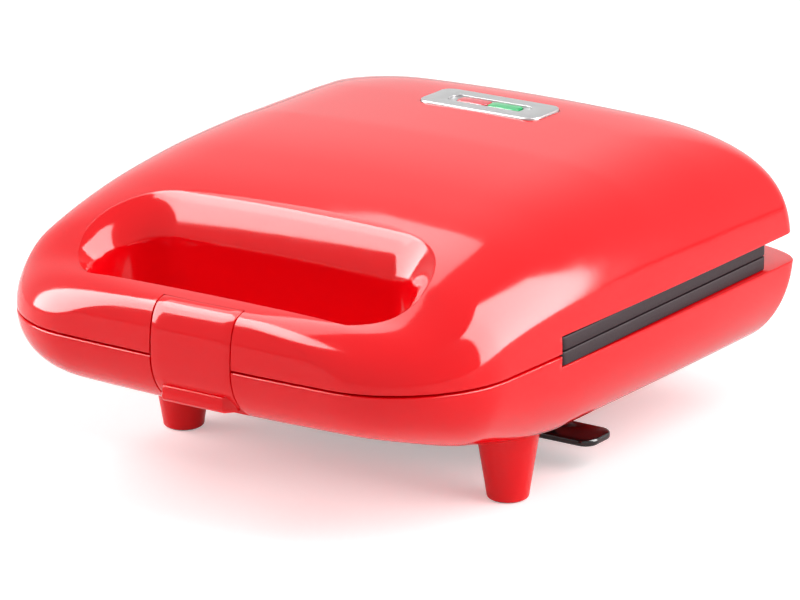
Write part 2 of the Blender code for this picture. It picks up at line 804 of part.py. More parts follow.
def hook_screw_places():
    x = HOOK_ROOT + HOOK_POST / 2
    y = FRONT + HOOK_FROM_FRONT
    return {"left": (-x, y), "right": (x, y)}


def build_lower_housing():
    housing = half_body("lower_housing", BOWL, 0.0, RED)
    cut(
        housing,
        band_cutter("bowl_band", BOWL, 0.0),
        hollow_cutter("bowl_hollow", BOWL),
        opening_cutter("bowl_opening", BOWL, 0.0),
        plate_well("bowl_plate_well", BOWL),
    )
    cut_latch_recess(housing, "bowl")
    add_posts(housing, BOWL, "bowl")
    cut_hinge_slots(housing, BOWL, "bowl")
    below = UNDERSIDE_Z - CUT_OVERRUN
    above = UNDERSIDE_Z + WALL + HOOK_SEAT
    cut(
        housing,
        prism("cover_seat", cover_outline(FIT), below, UNDERSIDE_Z + COVER_SHEET + FIT),
        prism("cover_way", cover_outline(-COVER_LEDGE), below, above),
    )
    boss_radius = FOOT_TOP_RADIUS + FOOT_BOSS_MARGIN
    boss_top = UNDERSIDE_Z + FOOT_BOSS
    for side, foot in foot_places().items():
        join(housing, upright(f"foot_boss_{side}", foot, UNDERSIDE_Z, boss_top, boss_radius, FINE_SIDES))
    for side, (x, y) in hook_screw_places().items():
        reach_x, reach_y = HOOK_POST / 2, HOOK_WIDTH / 2
        join(housing, box(f"hook_seat_{side}", (x - reach_x, y - reach_y, UNDERSIDE_Z),
                          (x + reach_x, y + reach_y, UNDERSIDE_Z + HOOK_SEAT)))
    holes = (
        ("cover", cover_screw_places(), above),
        ("foot", foot_places(), boss_top + FIT),
        ("hook", hook_screw_places(), above),
    )
    for name, places, end in holes:
        for side, screw in places.items():
            hole = upright(f"{name}_screw_hole_{side}", screw, below, end, SCREW_RADIUS + FIT, SMALL_SIDES)
            cut(housing, hole)
    y = gland_place()
    inside = y - GLAND_BOSS_LENGTH
    boss_ends = ((0.0, inside, GLAND_Z), (0.0, y, GLAND_Z))
    hole_ends = ((0.0, inside - CUT_OVERRUN, GLAND_Z), (0.0, y + CUT_OVERRUN, GLAND_Z))
    join(housing, rod("gland_boss", *boss_ends, GLAND_BOSS_RADIUS, ROUND_SIDES))
    cut(housing, rod("gland_hole", *hole_ends, GLAND_RADIUS + FIT, ROUND_SIDES))
    return housing


def pocket_corners(side, rear):
    """Corners of one triangular pocket: one of the two halves of a square cell."""
    inner = RIDGE / 2
    outer = PLATE_WIDTH / 2 - POCKET_RIM
    front = PLATE_CENTRE - PLATE_DEPTH / 2 + POCKET_RIM
    back = PLATE_CENTRE + PLATE_DEPTH / 2 - POCKET_RIM
    long_side = math.hypot(outer - inner, back - front)
    shift_across = RIDGE / 2 * long_side / (back - front)
    shift_along = RIDGE / 2 * long_side / (outer - inner)
    if rear:
        corners = ((inner, back), (inner, front + shift_along), (outer - shift_across, back))
    else:
        corners = ((inner + shift_across, front), (outer, front), (outer, back - shift_along))
    if side < 0:
        return tuple((-x, y) for x, y in reversed(corners))
    return corners


def add_pockets(plate, half, prefix):
    """Cuts the four bread pockets, which narrow towards their floor."""
    face = plate_levels(half)[0]
    for side in (-1, 1):
        for rear in (False, True):
            outline = np.array(rounded(pocket_corners(side, rear), (POCKET_RADIUS,) * 3))
            middle = outline.mean(axis=0)
            flare = 1 + (1 - POCKET_TAPER_SHARE) * FIT / POCKET_DEPTH
            levels = ((flare, -FIT), (POCKET_TAPER_SHARE, POCKET_DEPTH))
            rings = []
            for scale, depth in levels:
                ring = middle + (outline - middle) * scale
                height = np.full((len(ring), 1), face + half.way * depth)
                rings.append(np.hstack((ring, height)))
            name = f"{prefix}_pocket_{'left' if side < 0 else 'right'}_{'rear' if rear else 'front'}"
            cut(plate, loft(name, rings))


def build_plate(name, half):
    """A cast plate: a flange that shows at its edge, and a tub with the pockets behind it."""
    face, flange, tub = plate_levels(half)
    front, rear = PLATE_CENTRE - PLATE_DEPTH / 2, PLATE_CENTRE + PLATE_DEPTH / 2
    half_width = PLATE_WIDTH / 2
    plate = prism(name, rectangle(half_width, front, rear, PLATE_CORNER, PLATE_CORNER),
                  min(face, flange), max(face, flange), PLATE_GREY)
    inset = PLATE_LEDGE + FIT
    tub_outline = rectangle(half_width - inset, front + inset, rear - inset, PLATE_CORNER, PLATE_CORNER)
    root = face + (flange - face) / 2
    join(plate, prism(name + "_tub", tub_outline, min(root, tub), max(root, tub)))
    add_pockets(plate, half, name)
    end = tub - half.way * TUB_HEIGHT / 2
    start = tub + half.way * CUT_OVERRUN
    spot = (0.0, PLATE_CENTRE)
    cut(plate, upright(name + "_screw_hole", spot, start, end, SCREW_RADIUS + FIT, SMALL_SIDES))
    return plate


def element_route():
    """Middle line of a heating element: one loop round the tub's back, open at the rear."""
    half_width = PLATE_WIDTH / 2 - ELEMENT_SETBACK
    half_depth = PLATE_DEPTH / 2 - ELEMENT_SETBACK
    bend = ELEMENT_BEND
    quarter = np.linspace(0, math.pi / 2, ARC_STEPS + 1)
    x = np.concatenate((
        [ELEMENT_GAP / 2],
        half_width - bend + bend * np.sin(quarter),
        half_width - bend + bend * np.cos(quarter),
    ))
    y = np.concatenate((
        [half_depth],
        half_depth - bend + bend * np.cos(quarter),
        -half_depth + bend - bend * np.sin(quarter),
    ))
    return np.concatenate((x, -x[::-1])), np.concatenate((y, y[::-1])) + PLATE_CENTRE


def build_element(name, half):
    """A bent tube on the back of the plate's tub."""
    curve = bpy.data.curves.new(name, "CURVE")
    curve.dimensions = "3D"
    curve.bevel_depth = ELEMENT_RADIUS
    curve.bevel_resolution = BEVEL_STEPS
    curve.use_fill_caps = True
    x, y = element_route()
    z = plate_levels(half)[2] + half.way * (FIT + ELEMENT_RADIUS)
    spline = curve.splines.new("POLY")
    spline.points.add(len(x) - 1)
    for point, px, py in zip(spline.points, x, y):
        point.co = (px, py, z, 1.0)
    obj = bpy.data.objects.new(name, curve)
    curve.materials.append(STEEL)
    PARTS.objects.link(obj)
    return obj


def build_shield(name, half):
    """A sheet tray over the element, with its wall's edge on the back of the plate's tub."""
    inner, outer, edge = shield_levels(half)
    inset = PLATE_LEDGE + SHIELD_INSET
    half_width = PLATE_WIDTH / 2 - inset
    front = PLATE_CENTRE - PLATE_DEPTH / 2 + inset
    rear = PLATE_CENTRE + PLATE_DEPTH / 2 - inset
    sheet = SHIELD_SHEET
    corner = PLATE_CORNER
    outline = rectangle(half_width + sheet, front - sheet, rear + sheet, corner + sheet, corner + sheet)
    tray = prism(name, outline, min(outer, edge), max(outer, edge), SHEET)
    far = edge - half.way * CUT_OVERRUN
    inside = prism(name + "_inside", rectangle(half_width, front, rear, corner, corner),
                   min(inner, far), max(inner, far))
    low, high = inner - CUT_OVERRUN, inner + CUT_OVERRUN
    cut(tray, inside)
    cut(tray, upright(name + "_screw_hole", (0.0, PLATE_CENTRE), low, high, SCREW_RADIUS + FIT, SMALL_SIDES))
    return tray


def build_screw(name, seat, way, length, material=STEEL):
    """A screw whose head sits on the point seat, with its shank going the way up or down."""
    profile = (
        (0.0, length),
        (SCREW_RADIUS, length),
        (SCREW_RADIUS, 0.0),
        (SCREW_HEAD_RADIUS, 0.0),
        (SCREW_HEAD_RADIUS, -SCREW_HEAD),
        (0.0, -SCREW_HEAD),
    )
    return turned(name, profile, SMALL_SIDES, seat, (0.0, 0.0, way), material)


def build_plate_screw(name, half):
    inner, outer, _ = shield_levels(half)
    tub = plate_levels(half)[2]
    length = abs(outer - tub) + FIT + TUB_HEIGHT / 2 - 2 * FIT
    seat = (0.0, PLATE_CENTRE, outer + half.way * FIT)
    return build_screw(name, seat, -half.way, length)


def build_foot(side, spot):
    """A tapered foot with a pocket for its pad and a well for its screw."""
    top = UNDERSIDE_Z - FIT
    ends = ((*spot, PAD_PROUD), (*spot, top))
    foot = cone(f"foot_{side}", *ends, FOOT_BOTTOM_RADIUS, FOOT_TOP_RADIUS, FINE_SIDES, RED)
    below = PAD_PROUD - CUT_OVERRUN
    cut(
        foot,
        upright(f"foot_pad_seat_{side}", spot, below, PAD_HEIGHT + FIT, PAD_RADIUS + FIT, ROUND_SIDES),
        upright(f"foot_well_{side}", spot, below, FOOT_SCREW_SEAT, FOOT_WELL_RADIUS, SMALL_SIDES),
        upright(f"foot_hole_{side}", spot, below, top + CUT_OVERRUN, SCREW_RADIUS + FIT, SMALL_SIDES),
    )
    upright(f"foot_pad_{side}", spot, 0.0, PAD_HEIGHT, PAD_RADIUS, ROUND_SIDES, RUBBER)
    length = UNDERSIDE_Z + FOOT_SCREW_GRIP - FOOT_SCREW_SEAT
    build_screw(f"foot_screw_{side}", (*spot, FOOT_SCREW_SEAT - FIT), 1, length)


def build_base_cover():
    cover = prism("base_cover", cover_outline(0.0), UNDERSIDE_Z, UNDERSIDE_Z + COVER_SHEET, BLACK)
    low, high = UNDERSIDE_Z - CUT_OVERRUN, UNDERSIDE_Z + CUT_OVERRUN
    for side, spot in cover_screw_places().items():
        cut(cover, upright(f"cover_hole_{side}", spot, low, high, SCREW_RADIUS + FIT, SMALL_SIDES))
        build_screw(f"cover_screw_{side}", (*spot, UNDERSIDE_Z - FIT), 1, COVER_SCREW_LENGTH)


def build_hook(side, way):
    """A flat tongue on a post, round which the cord is wound for storage."""
    y = FRONT + HOOK_FROM_FRONT
    top = UNDERSIDE_Z - FIT
    tongue_top = top - HOOK_GAP
    radius = HOOK_WIDTH / 2
    far = HOOK_TIP - radius
    turn = np.linspace(-math.pi / 2, math.pi / 2, 2 * ARC_STEPS + 1)
    tip = [(way * (far + radius * math.cos(t)), y + radius * math.sin(t)) for t in turn]
    root = way * HOOK_ROOT
    outline = [(root, y - radius), *tip, (root, y + radius)]
    hook = prism(f"cord_hook_{side}", outline, tongue_top - HOOK_SHEET, tongue_top, BLACK)
    post_root = way * (HOOK_ROOT + HOOK_POST_INSET)
    post_end = way * (HOOK_ROOT + HOOK_POST)
    post_reach = radius - HOOK_POST_INSET
    low = (min(post_root, post_end), y - post_reach, tongue_top - HOOK_SHEET / 2)
    high = (max(post_root, post_end), y + post_reach, top)
    join(hook, box(f"hook_post_{side}", low, high))
    spot = hook_screw_places()[side]
    tongue_low = tongue_top - HOOK_SHEET
    well_top = tongue_low + HOOK_WELL
    below = tongue_low - CUT_OVERRUN
    cut(
        hook,
        upright(f"hook_well_{side}", spot, below, well_top, FOOT_WELL_RADIUS, SMALL_SIDES),
        upright(f"hook_hole_{side}", spot, below, top + CUT_OVERRUN, SCREW_RADIUS + FIT, SMALL_SIDES),
    )
    length = top - well_top + COVER_SCREW_LENGTH
    build_screw(f"hook_screw_{side}", (*spot, well_top - FIT), 1, length)


def build_gland():
    """A flanged bush in the rear wall, with the bore for the cord."""
    profile = (
        (GLAND_BORE_RADIUS, GLAND_FLANGE),
        (GLAND_FLANGE_RADIUS, GLAND_FLANGE),
        (GLAND_FLANGE_RADIUS, 0.0),
        (GLAND_RADIUS, 0.0),
        (GLAND_RADIUS, -GLAND_LENGTH),
        (GLAND_BORE_RADIUS, -GLAND_LENGTH),
    )
    seat = (0.0, gland_place() + FIT, GLAND_Z)
    turned("cord_gland", profile, ROUND_SIDES, seat, (0.0, 1.0, 0.0), BLACK)


def build_hinge(side, x):
    """One hinge: two ears on the base, an arm on the lid between them, and their pin."""
    hole = HINGE_PIN_RADIUS + FIT
    arm_reach = ARM_WIDTH / 2
    ear_inner = arm_reach + HINGE_CLEARANCE
    ear_outer = ear_inner + EAR_WIDTH
    leg_front = HINGE_Y - KNUCKLE_RADIUS
    leg_rear = leg_front + EAR_LEG_DEPTH
    plate_top = BOWL_EDGE_Z - WALL - FIT
    plate_low = plate_top - BRACKET_PLATE
    bracket = box(f"hinge_bracket_{side}", (x - ear_outer - BRACKET_REACH, leg_front, plate_low),
                  (x + ear_outer + BRACKET_REACH, leg_rear, plate_top), STEEL)
    for way, place_name in ((-1, "outer_left"), (1, "outer_right")):
        near, far = x + way * ear_inner, x + way * ear_outer
        low = (min(near, far), leg_front, plate_low)
        high = (max(near, far), leg_rear, HINGE_Z)
        join(bracket, box(f"ear_leg_{side}_{place_name}", low, high))
        join(bracket, crosswise(f"ear_{side}_{place_name}", near, far, HINGE_AXIS, KNUCKLE_RADIUS))
    cut(bracket, crosswise(f"ear_bore_{side}", x - ear_outer - FIT, x + ear_outer + FIT, HINGE_AXIS, hole))

    arm_front = HINGE_Y - ARM_LEG_FORWARD
    arm_rear = arm_front + ARM_LEG_DEPTH
    arm_plate_low = LID_EDGE_Z + WALL + FIT
    arm_plate_top = arm_plate_low + BRACKET_PLATE
    arm = box(f"hinge_arm_{side}", (x - arm_reach - BRACKET_REACH, arm_front, arm_plate_low),
              (x + arm_reach + BRACKET_REACH, arm_rear, arm_plate_top), STEEL)
    join(
        arm,
        box(f"arm_leg_{side}", (x - arm_reach, arm_front, HINGE_Z - KNUCKLE_RADIUS / 2),
            (x + arm_reach, arm_rear, arm_plate_top)),
        crosswise(f"arm_knuckle_{side}", x - arm_reach, x + arm_reach, HINGE_AXIS, KNUCKLE_RADIUS),
    )
    cut(arm, crosswise(f"arm_bore_{side}", x - arm_reach - FIT, x + arm_reach + FIT, HINGE_AXIS, hole))
    pin_length = 2 * ear_outer
    profile = (
        (0.0, pin_length + FIT),
        (HINGE_PIN_RADIUS, pin_length + FIT),
        (HINGE_PIN_RADIUS, -FIT),
        (PIN_HEAD_RADIUS, -FIT),
        (PIN_HEAD_RADIUS, -FIT - PIN_HEAD),
        (0.0, -FIT - PIN_HEAD),
    )
    turned(f"hinge_pin_{side}", profile, ROUND_SIDES, (x - ear_outer, *HINGE_AXIS), (1.0, 0.0, 0.0), STEEL)
    return arm


def to_world(section):
    return [(FRONT + distance, PARTING_HEIGHT + height) for distance, height in section]


def latch_outline():
    """Section of the latch in Y and Z: the bar's own profile outside, and a round head about its pin."""
    pin_share = LATCH_PIN_BACK / LID_ROLL_FRONT
    outer = [LID.front_point(share) for share in np.linspace(pin_share, 0, LATCH_ARC_STEPS)]
    outer += [BOWL.front_point(share) for share in np.linspace(0, LATCH_END_SHARE, LATCH_ARC_STEPS)[1:]]
    inner = [BOWL.front_point(share) for share in (LATCH_END_SHARE, LATCH_LIP_TOP_SHARE, 0.0)]
    inner.append(LID.front_point(LATCH_INNER_SHARE))
    inner = [(distance + LATCH_SHEET, height) for distance, height in inner]
    radius = latch_head_radius()
    head = []
    for turn in np.linspace(LATCH_ARC_END, 0, LATCH_ARC_STEPS)[:-1]:
        head.append((LATCH_PIN_BACK + radius * math.sin(turn), LATCH_PIN_RISE + radius * math.cos(turn)))
    return to_world(outer + inner + head)


def latch_lip_outline():
    """Section of the pull lip at the latch's lower end."""
    top_distance, top_height = BOWL.front_point(LATCH_LIP_TOP_SHARE)
    end_distance, end_height = BOWL.front_point(LATCH_END_SHARE)
    low = end_height - LATCH_LIP_DROP
    front = top_distance - LATCH_LIP_OUT
    root = LATCH_SHEET / 2
    corners = (
        (top_distance + root, top_height),
        (front, top_height - LATCH_LIP_OUT / 2),
        (front, low + LATCH_LIP_OUT / 2),
        (front + LATCH_LIP_OUT, low),
        (end_distance + root, low),
        (end_distance + root, end_height),
    )
    return to_world(corners)


def build_latch():
    reach = LATCH_WIDTH / 2
    lip_reach = LATCH_LIP_WIDTH / 2
    latch = prism("latch_clip", latch_outline(), -reach, reach, RED, along="X")
    join(latch, prism("latch_lip", latch_lip_outline(), -lip_reach, lip_reach, along="X"))
    cut(latch, crosswise("latch_bore", -reach - FIT, reach + FIT, LATCH_AXIS, LATCH_PIN_RADIUS + FIT))
    pin_reach = reach + LATCH_SEAM + WALL
    pin = crosswise("latch_pin", -pin_reach, pin_reach, LATCH_AXIS, LATCH_PIN_RADIUS, STEEL)
    return latch, pin


def build_indicators():
    """The panel, its two lenses, and the lamps in their holder below."""
    top = panel_top() + PANEL_PROUD
    panel = prism("indicator_panel", panel_outline(0.0), top - PANEL_SHEET, top, SILVER)
    cut(panel, prism("panel_slot", slot_outline(0.0), top - PANEL_SHEET - FIT, top + FIT))
    lens_low, lens_top = top + LENS_PROUD - LENS_HEIGHT, top + LENS_PROUD
    holder_top = panel_top() - PANEL_BED - FIT
    reach_x, reach_y = SLOT_WIDTH / 2 + HOLDER_LEDGE, SLOT_DEPTH / 2 + HOLDER_LEDGE
    holder_low = holder_top - HOLDER_HEIGHT
    holder = box("lamp_holder", (-reach_x, PANEL_Y - reach_y, holder_low),
                 (reach_x, PANEL_Y + reach_y, holder_top), CERAMIC)
    seat = (holder_low + holder_top) / 2
    lamp_base = seat + FIT
    lamp_end = min(lamp_base + LAMP_LENGTH, lens_low - FIT)
    made = [panel, holder]
    for side, way, glass in (("red", -1, RED_LENS), ("green", 1, GREEN_LENS)):
        lens = prism(f"{side}_lens", slot_outline(-FIT), lens_low, lens_top, glass)
        near, far = way * FIT / 2, -way * SLOT_WIDTH
        low = (min(near, far), PANEL_Y - PANEL_DEPTH, lens_low - CUT_OVERRUN)
        high = (max(near, far), PANEL_Y + PANEL_DEPTH, lens_top + CUT_OVERRUN)
        cut(lens, box(f"{side}_lens_side", low, high))
        spot = (way * SLOT_WIDTH / 4, PANEL_Y)
        hole_top = holder_top + CUT_OVERRUN
        cut(holder, upright(f"{side}_lamp_hole", spot, seat, hole_top, LAMP_RADIUS + FIT, SMALL_SIDES))
        made += [lens, upright(f"{side}_lamp", spot, lamp_base, lamp_end, LAMP_RADIUS, SMALL_SIDES, GLASS)]
    return made


def build_controls():
    """Thermostat and thermal fuse, seated on the back of the upper plate."""
    seat = plate_levels(LID)[2] + FIT
    neck = THERMOSTAT_HEIGHT * THERMOSTAT_NECK_SHARE
    profile = (
        (0.0, THERMOSTAT_HEIGHT),
        (THERMOSTAT_NECK_RADIUS, THERMOSTAT_HEIGHT),
        (THERMOSTAT_NECK_RADIUS, neck),
        (THERMOSTAT_RADIUS, neck),
        (THERMOSTAT_RADIUS, 0.0),
        (0.0, 0.0),
    )
    x = CONTROLS_ACROSS / 2
    thermostat = turned("thermostat", profile, ROUND_SIDES, (x, PLATE_CENTRE, seat), (0.0, 0.0, 1.0), CERAMIC)
    tip = FUSE_RADIUS - FUSE_TAPER
    fuse_profile = (
        (0.0, FUSE_LENGTH / 2),
        (tip, FUSE_LENGTH / 2),
        (FUSE_RADIUS, FUSE_LENGTH / 2 - FUSE_TAPER),
        (FUSE_RADIUS, FUSE_TAPER - FUSE_LENGTH / 2),
        (tip, -FUSE_LENGTH / 2),
        (0.0, -FUSE_LENGTH / 2),
    )
    fuse_place = (-x, PLATE_CENTRE, seat + FUSE_RADIUS)
    fuse = turned("thermal_fuse", fuse_profile, SMALL_SIDES, fuse_place, (0.0, 1.0, 0.0), CERAMIC)
    return [thermostat, fuse]


def hang_on(axis_name, location, objects, parent=None):
    """Parents objects to an empty on their joint's axis, without moving them."""
    empty = bpy.data.objects.new(axis_name, None)
    PARTS.objects.link(empty)
    empty.location = location
    world = Matrix.Translation(location)
    if parent is not None:
        empty.parent = parent
        empty.matrix_parent_inverse = Matrix.Translation(parent.location).inverted()
    for obj in objects:
        obj.parent = empty
        obj.matrix_parent_inverse = world.inverted()
    return empty


def main():
    lid = [build_upper_housing()]
    build_lower_housing()
    lid.append(build_plate("upper_plate", LID))
    build_plate("lower_plate", BOWL)
    lid.append(build_element("upper_element", LID))
    build_element("lower_element", BOWL)
    lid.append(build_shield("upper_heat_shield", LID))
    build_shield("lower_heat_shield", BOWL)
    lid.append(build_plate_screw("upper_plate_screw", LID))
    build_plate_screw("lower_plate_screw", BOWL)
    for side, spot in foot_places().items():
        build_foot(side, spot)
    build_base_cover()
    build_hook("left", -1)
    build_hook("right", 1)
    build_gland()
    for side, x in hinge_places().items():
        lid.append(build_hinge(side, x))
    latch, latch_pin = build_latch()
    lid.append(latch_pin)
    lid += build_indicators()
    lid += build_controls()
    lid_axis = hang_on("lid_axis", (0.0, HINGE_Y, HINGE_Z), lid)
    hang_on("latch_axis", (0.0, LATCH_PIN_Y, LATCH_PIN_Z), [latch], lid_axis)


main()
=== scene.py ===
"""Looks of a red sandwich maker: glossy moulded housings, dark coated plates, a latch and four conical feet.

Everything is in metres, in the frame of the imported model: +X right, -Y front, +Z up, origin on the floor.
Distances from the front run from the handle bar's front edge towards the rear, and heights of a housing's
skin run from the parting plane, upwards for the lid and downwards for the bowl.
"""

import logging
import math
from collections.abc import Callable
from dataclasses import dataclass
from enum import Enum

import bmesh
import bpy
import numpy as np
from mathutils import Matrix, Quaternion, Vector


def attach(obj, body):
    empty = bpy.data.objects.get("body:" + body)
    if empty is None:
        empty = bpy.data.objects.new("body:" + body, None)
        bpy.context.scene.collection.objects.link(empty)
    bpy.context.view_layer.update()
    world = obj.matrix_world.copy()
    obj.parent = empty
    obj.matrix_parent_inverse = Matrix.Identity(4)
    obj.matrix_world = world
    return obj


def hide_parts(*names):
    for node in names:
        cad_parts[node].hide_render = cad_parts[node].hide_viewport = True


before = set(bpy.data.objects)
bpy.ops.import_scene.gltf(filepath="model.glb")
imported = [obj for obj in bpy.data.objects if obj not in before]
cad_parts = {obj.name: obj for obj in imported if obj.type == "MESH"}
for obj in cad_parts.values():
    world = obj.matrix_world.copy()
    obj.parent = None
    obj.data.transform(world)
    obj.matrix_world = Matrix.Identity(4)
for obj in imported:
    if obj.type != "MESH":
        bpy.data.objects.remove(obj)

LOG = logging.getLogger("sandwich_maker")
Array = np.ndarray
Colour = tuple[float, float, float, float]

WIDTH = 0.219
DEPTH = 0.2555
FRONT = -DEPTH / 2
REAR = DEPTH / 2
PARTING_Z = 0.0643
FIT = 0.0003
UNDO_ROUNDS = 5
SEARCH_ROUNDS = 4
HALVINGS = 28


class Slot(Enum):
    """Names of material slots, one held by each finish."""

    RED = "red_plastic"
    COATING = "plate_coating"
    BLACK = "black_plastic"
    RUBBER = "pad_rubber"
    SILVER = "silver_panel"
    RED_LENS = "red_lens"
    GREEN_LENS = "green_lens"
    STEEL = "steel"
    ELEMENT = "element_steel"
    SHEET = "shield_sheet"
    CERAMIC = "ceramic"
    GLASS = "lamp_glass"


class Body(Enum):
    """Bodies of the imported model."""

    BASE = "base"
    LID = "lid"
    LATCH = "latch"


# ---- Meshes from arrays ----


def place(name: str, mesh: bpy.types.Mesh) -> bpy.types.Object:
    """Links a mesh into the scene as an object at the origin.

    Args:
        name: Name of the object.
        mesh: Its mesh.

    Returns:
        The new object.
    """
    obj = bpy.data.objects.new(name, mesh)
    bpy.context.scene.collection.objects.link(obj)
    return obj


def solid_of(name: str, points: Array, faces: list[list[int]]) -> bpy.types.Object:
    """Places a closed mesh whose faces point outwards.

    Args:
        name: Name of the object and its mesh.
        points: Vertex positions, (..., 3).
        faces: Vertex indices of each face.

    Returns:
        The new object.
    """
    mesh = bpy.data.meshes.new(name)
    mesh.from_pydata(points.reshape(-1, 3).tolist(), [], faces)
    shape = bmesh.new()
    shape.from_mesh(mesh)
    bmesh.ops.recalc_face_normals(shape, faces=shape.faces)
    shape.to_mesh(mesh)
    shape.free()
    mesh.update()
    return place(name, mesh)


def skin_of(name: str, rows: Array, capped: bool = True) -> bpy.types.Object:
    """Places a closed skin of quads through a stack of closed loops.

    Args:
        name: Name of the object and its mesh.
        rows: Points of the loops, (rows, columns, 3).
        capped: True for a flat cap at both ends, False to join the last loop to the first.

    Returns:
        The new object.
    """
    count, columns = rows.shape[:2]
    i, j = np.arange(count - 1 if capped else count)[:, None], np.arange(columns)[None, :]
    below, above, right = i * columns, (i + 1) % count * columns, (j + 1) % columns
    faces = np.stack((below + j, below + right, above + right, above + j), axis=-1).reshape(-1, 4).tolist()
    if capped:
        faces += [list(range(columns)), list(range((count - 1) * columns, count * columns))]
    return solid_of(name, rows, faces)


def smooth_step(t: Array) -> Array:
    """Smooth rise from 0 to 1: 3 t^2 - 2 t^3 of t kept within 0 and 1."""
    t = np.clip(t, 0, 1)
    return 3 * t**2 - 2 * t**3


def levelled(outlines: list[tuple[Array, float]]) -> Array:
    """Loops from outlines in plan and their levels: (x, y, level)."""
    return np.stack([np.column_stack((points, np.full(len(points), level))) for points, level in outlines])


def settle(obj: bpy.types.Object, sharp_degrees: float = 35.0) -> bpy.types.Object:
    """Applies an object's modifiers and shades it smooth up to an angle between faces.

    Args:
        obj: The object, which keeps its name and place.
        sharp_degrees: Edges between faces that turn by more than this stay sharp.

    Returns:
        The same object.
    """
    bpy.context.view_layer.update()
    evaluated = obj.evaluated_get(bpy.context.evaluated_depsgraph_get())
    mesh = bpy.data.meshes.new_from_object(evaluated)
    obj.modifiers.clear()
    obj.data = mesh
    mesh.shade_smooth()
    mesh.set_sharp_from_angle(angle=math.radians(sharp_degrees))
    return obj


def carve(target: bpy.types.Object, cutters: list[bpy.types.Object]) -> None:
    """Cuts closed pieces out of a closed piece, and removes the cutters.

    Args:
        target: The piece that is cut.
        cutters: What is taken away from it.
    """
    for cutter in cutters:
        modifier = target.modifiers.new(cutter.name, "BOOLEAN")
        modifier.operation = "DIFFERENCE"
        modifier.solver = "MANIFOLD"
        modifier.object = cutter
    settle(target)
    for cutter in cutters:
        bpy.data.objects.remove(cutter)


def soften(obj: bpy.types.Object, width: float, segments: int = 3, angle_degrees: float = 40.0) -> None:
    """Adds a bevel to the edges that turn by more than an angle.

    Args:
        obj: The piece.
        width: Width of the bevel.
        segments: Number of faces across it.
        angle_degrees: Smallest turn of an edge that gets it.
    """
    modifier = obj.modifiers.new("edge_radius", "BEVEL")
    modifier.width = width
    modifier.segments = segments
    modifier.limit_method = "ANGLE"
    modifier.angle_limit = math.radians(angle_degrees)


def box_cutter(name: str, low: tuple[float, float, float], high: tuple[float, float, float]) -> bpy.types.Object:
    """A box between two corners, for cutting."""
    outline = np.array(((low[0], low[1]), (high[0], low[1]), (high[0], high[1]), (low[0], high[1])))
    return prism_cutter(name, outline, low[2], high[2])


def prism_cutter(name: str, outline: Array, low: float, high: float) -> bpy.types.Object:
    """An outline in plan drawn out between two levels, for cutting."""
    return skin_of(name, levelled([(outline, low), (outline, high)]))


def quarter(radius: float, steps: int) -> tuple[Array, Array]:
    """Points of a quarter round with their distances from its two tangents: r (1 - cos a) and r (1 - sin a)."""
    turn = np.linspace(0, math.pi / 2, steps)
    return radius * (1 - np.cos(turn)), radius * (1 - np.sin(turn))


def both_halves(right: Array, sign: int = 1) -> Array:
    """Values of a right half along the last axis, followed by their mirror image without the two ends."""
    return np.concatenate((right, sign * right[..., -2:0:-1]), axis=-1)


def rounded_box(half_across: float, front: float, rear: float, front_radius: float, rear_radius: float,
                grow: float, steps: int = 10, straight: int = 12) -> Array:
    """Outline of a rectangle with round corners: each corner is an arc, and growing it keeps the arcs' centres.

    Args:
        half_across: Half of its width.
        front: Y of its front edge.
        rear: Y of its rear edge.
        front_radius: Radius of the two front corners.
        rear_radius: Radius of the two rear corners.
        grow: How far the outline is moved outwards.
        steps: Faces round each corner.
        straight: Faces along each straight edge.

    Returns:
        Points (count, 2), anticlockwise from the middle of the front edge.
    """
    counts = (straight, steps, straight, steps, straight)
    v = np.concatenate([np.linspace(part, part + 1, n, endpoint=False) for part, n in enumerate(counts)] + [[5.0]])
    x, y = rounded_path(v, half_across + grow, front - grow, rear + grow,
                        (front_radius + grow,) * 2, (rear_radius + grow,) * 2)
    return np.column_stack((both_halves(x, -1), both_halves(y)))


def rounded_path(v: Array, across: Array, front: Array, rear: Array,
                 front_corner: tuple[Array, Array], rear_corner: tuple[Array, Array]) -> tuple[Array, Array]:
    """Right half of a rectangle with quarter-ellipse corners, from the middle of its front to that of its rear.

    With a, b, c, d, e the shares done of the front edge, front corner, side, rear corner and rear edge,
    x = (across - fa) a + fa sin b - ra (1 - cos d) - (across - ra) e
    y = front + fl (1 - cos b) + (side length) c + rl sin d.

    Args:
        v: Place along the path, 0 to 5, one unit for each of its five parts.
        across: Half of the width.
        front: Y of the front edge.
        rear: Y of the rear edge.
        front_corner: Size of the front corner in X and in Y.
        rear_corner: Size of the rear corner in X and in Y.

    Returns:
        X and Y of the points.
    """
    a, c, e = np.clip(v, 0, 1), np.clip(v - 2, 0, 1), np.clip(v - 4, 0, 1)
    b, d = np.clip(v - 1, 0, 1) * math.pi / 2, np.clip(v - 3, 0, 1) * math.pi / 2
    x = (across - front_corner[0]) * a + front_corner[0] * np.sin(b)
    x = x - rear_corner[0] * (1 - np.cos(d)) - (across - rear_corner[0]) * e
    side = rear - rear_corner[1] - front - front_corner[1]
    y = front + front_corner[1] * (1 - np.cos(b)) + side * c + rear_corner[1] * np.sin(d)
    return x, y


# ---- Finishes ----


def linear(code: str) -> Colour:
    """Linear colour of an sRGB hex code: c/12.92 up to 0.04045, else ((c + 0.055)/1.055)^2.4.

    Args:
        code: Hex code with its leading #.

    Returns:
        Red, green, blue and alpha.
    """
    srgb = np.array([int(code[i:i + 2], 16) for i in (1, 3, 5)]) / 255
    values = np.where(srgb <= 0.04045, srgb / 12.92, ((srgb + 0.055) / 1.055) ** 2.4)
    return (*values.tolist(), 1.0)


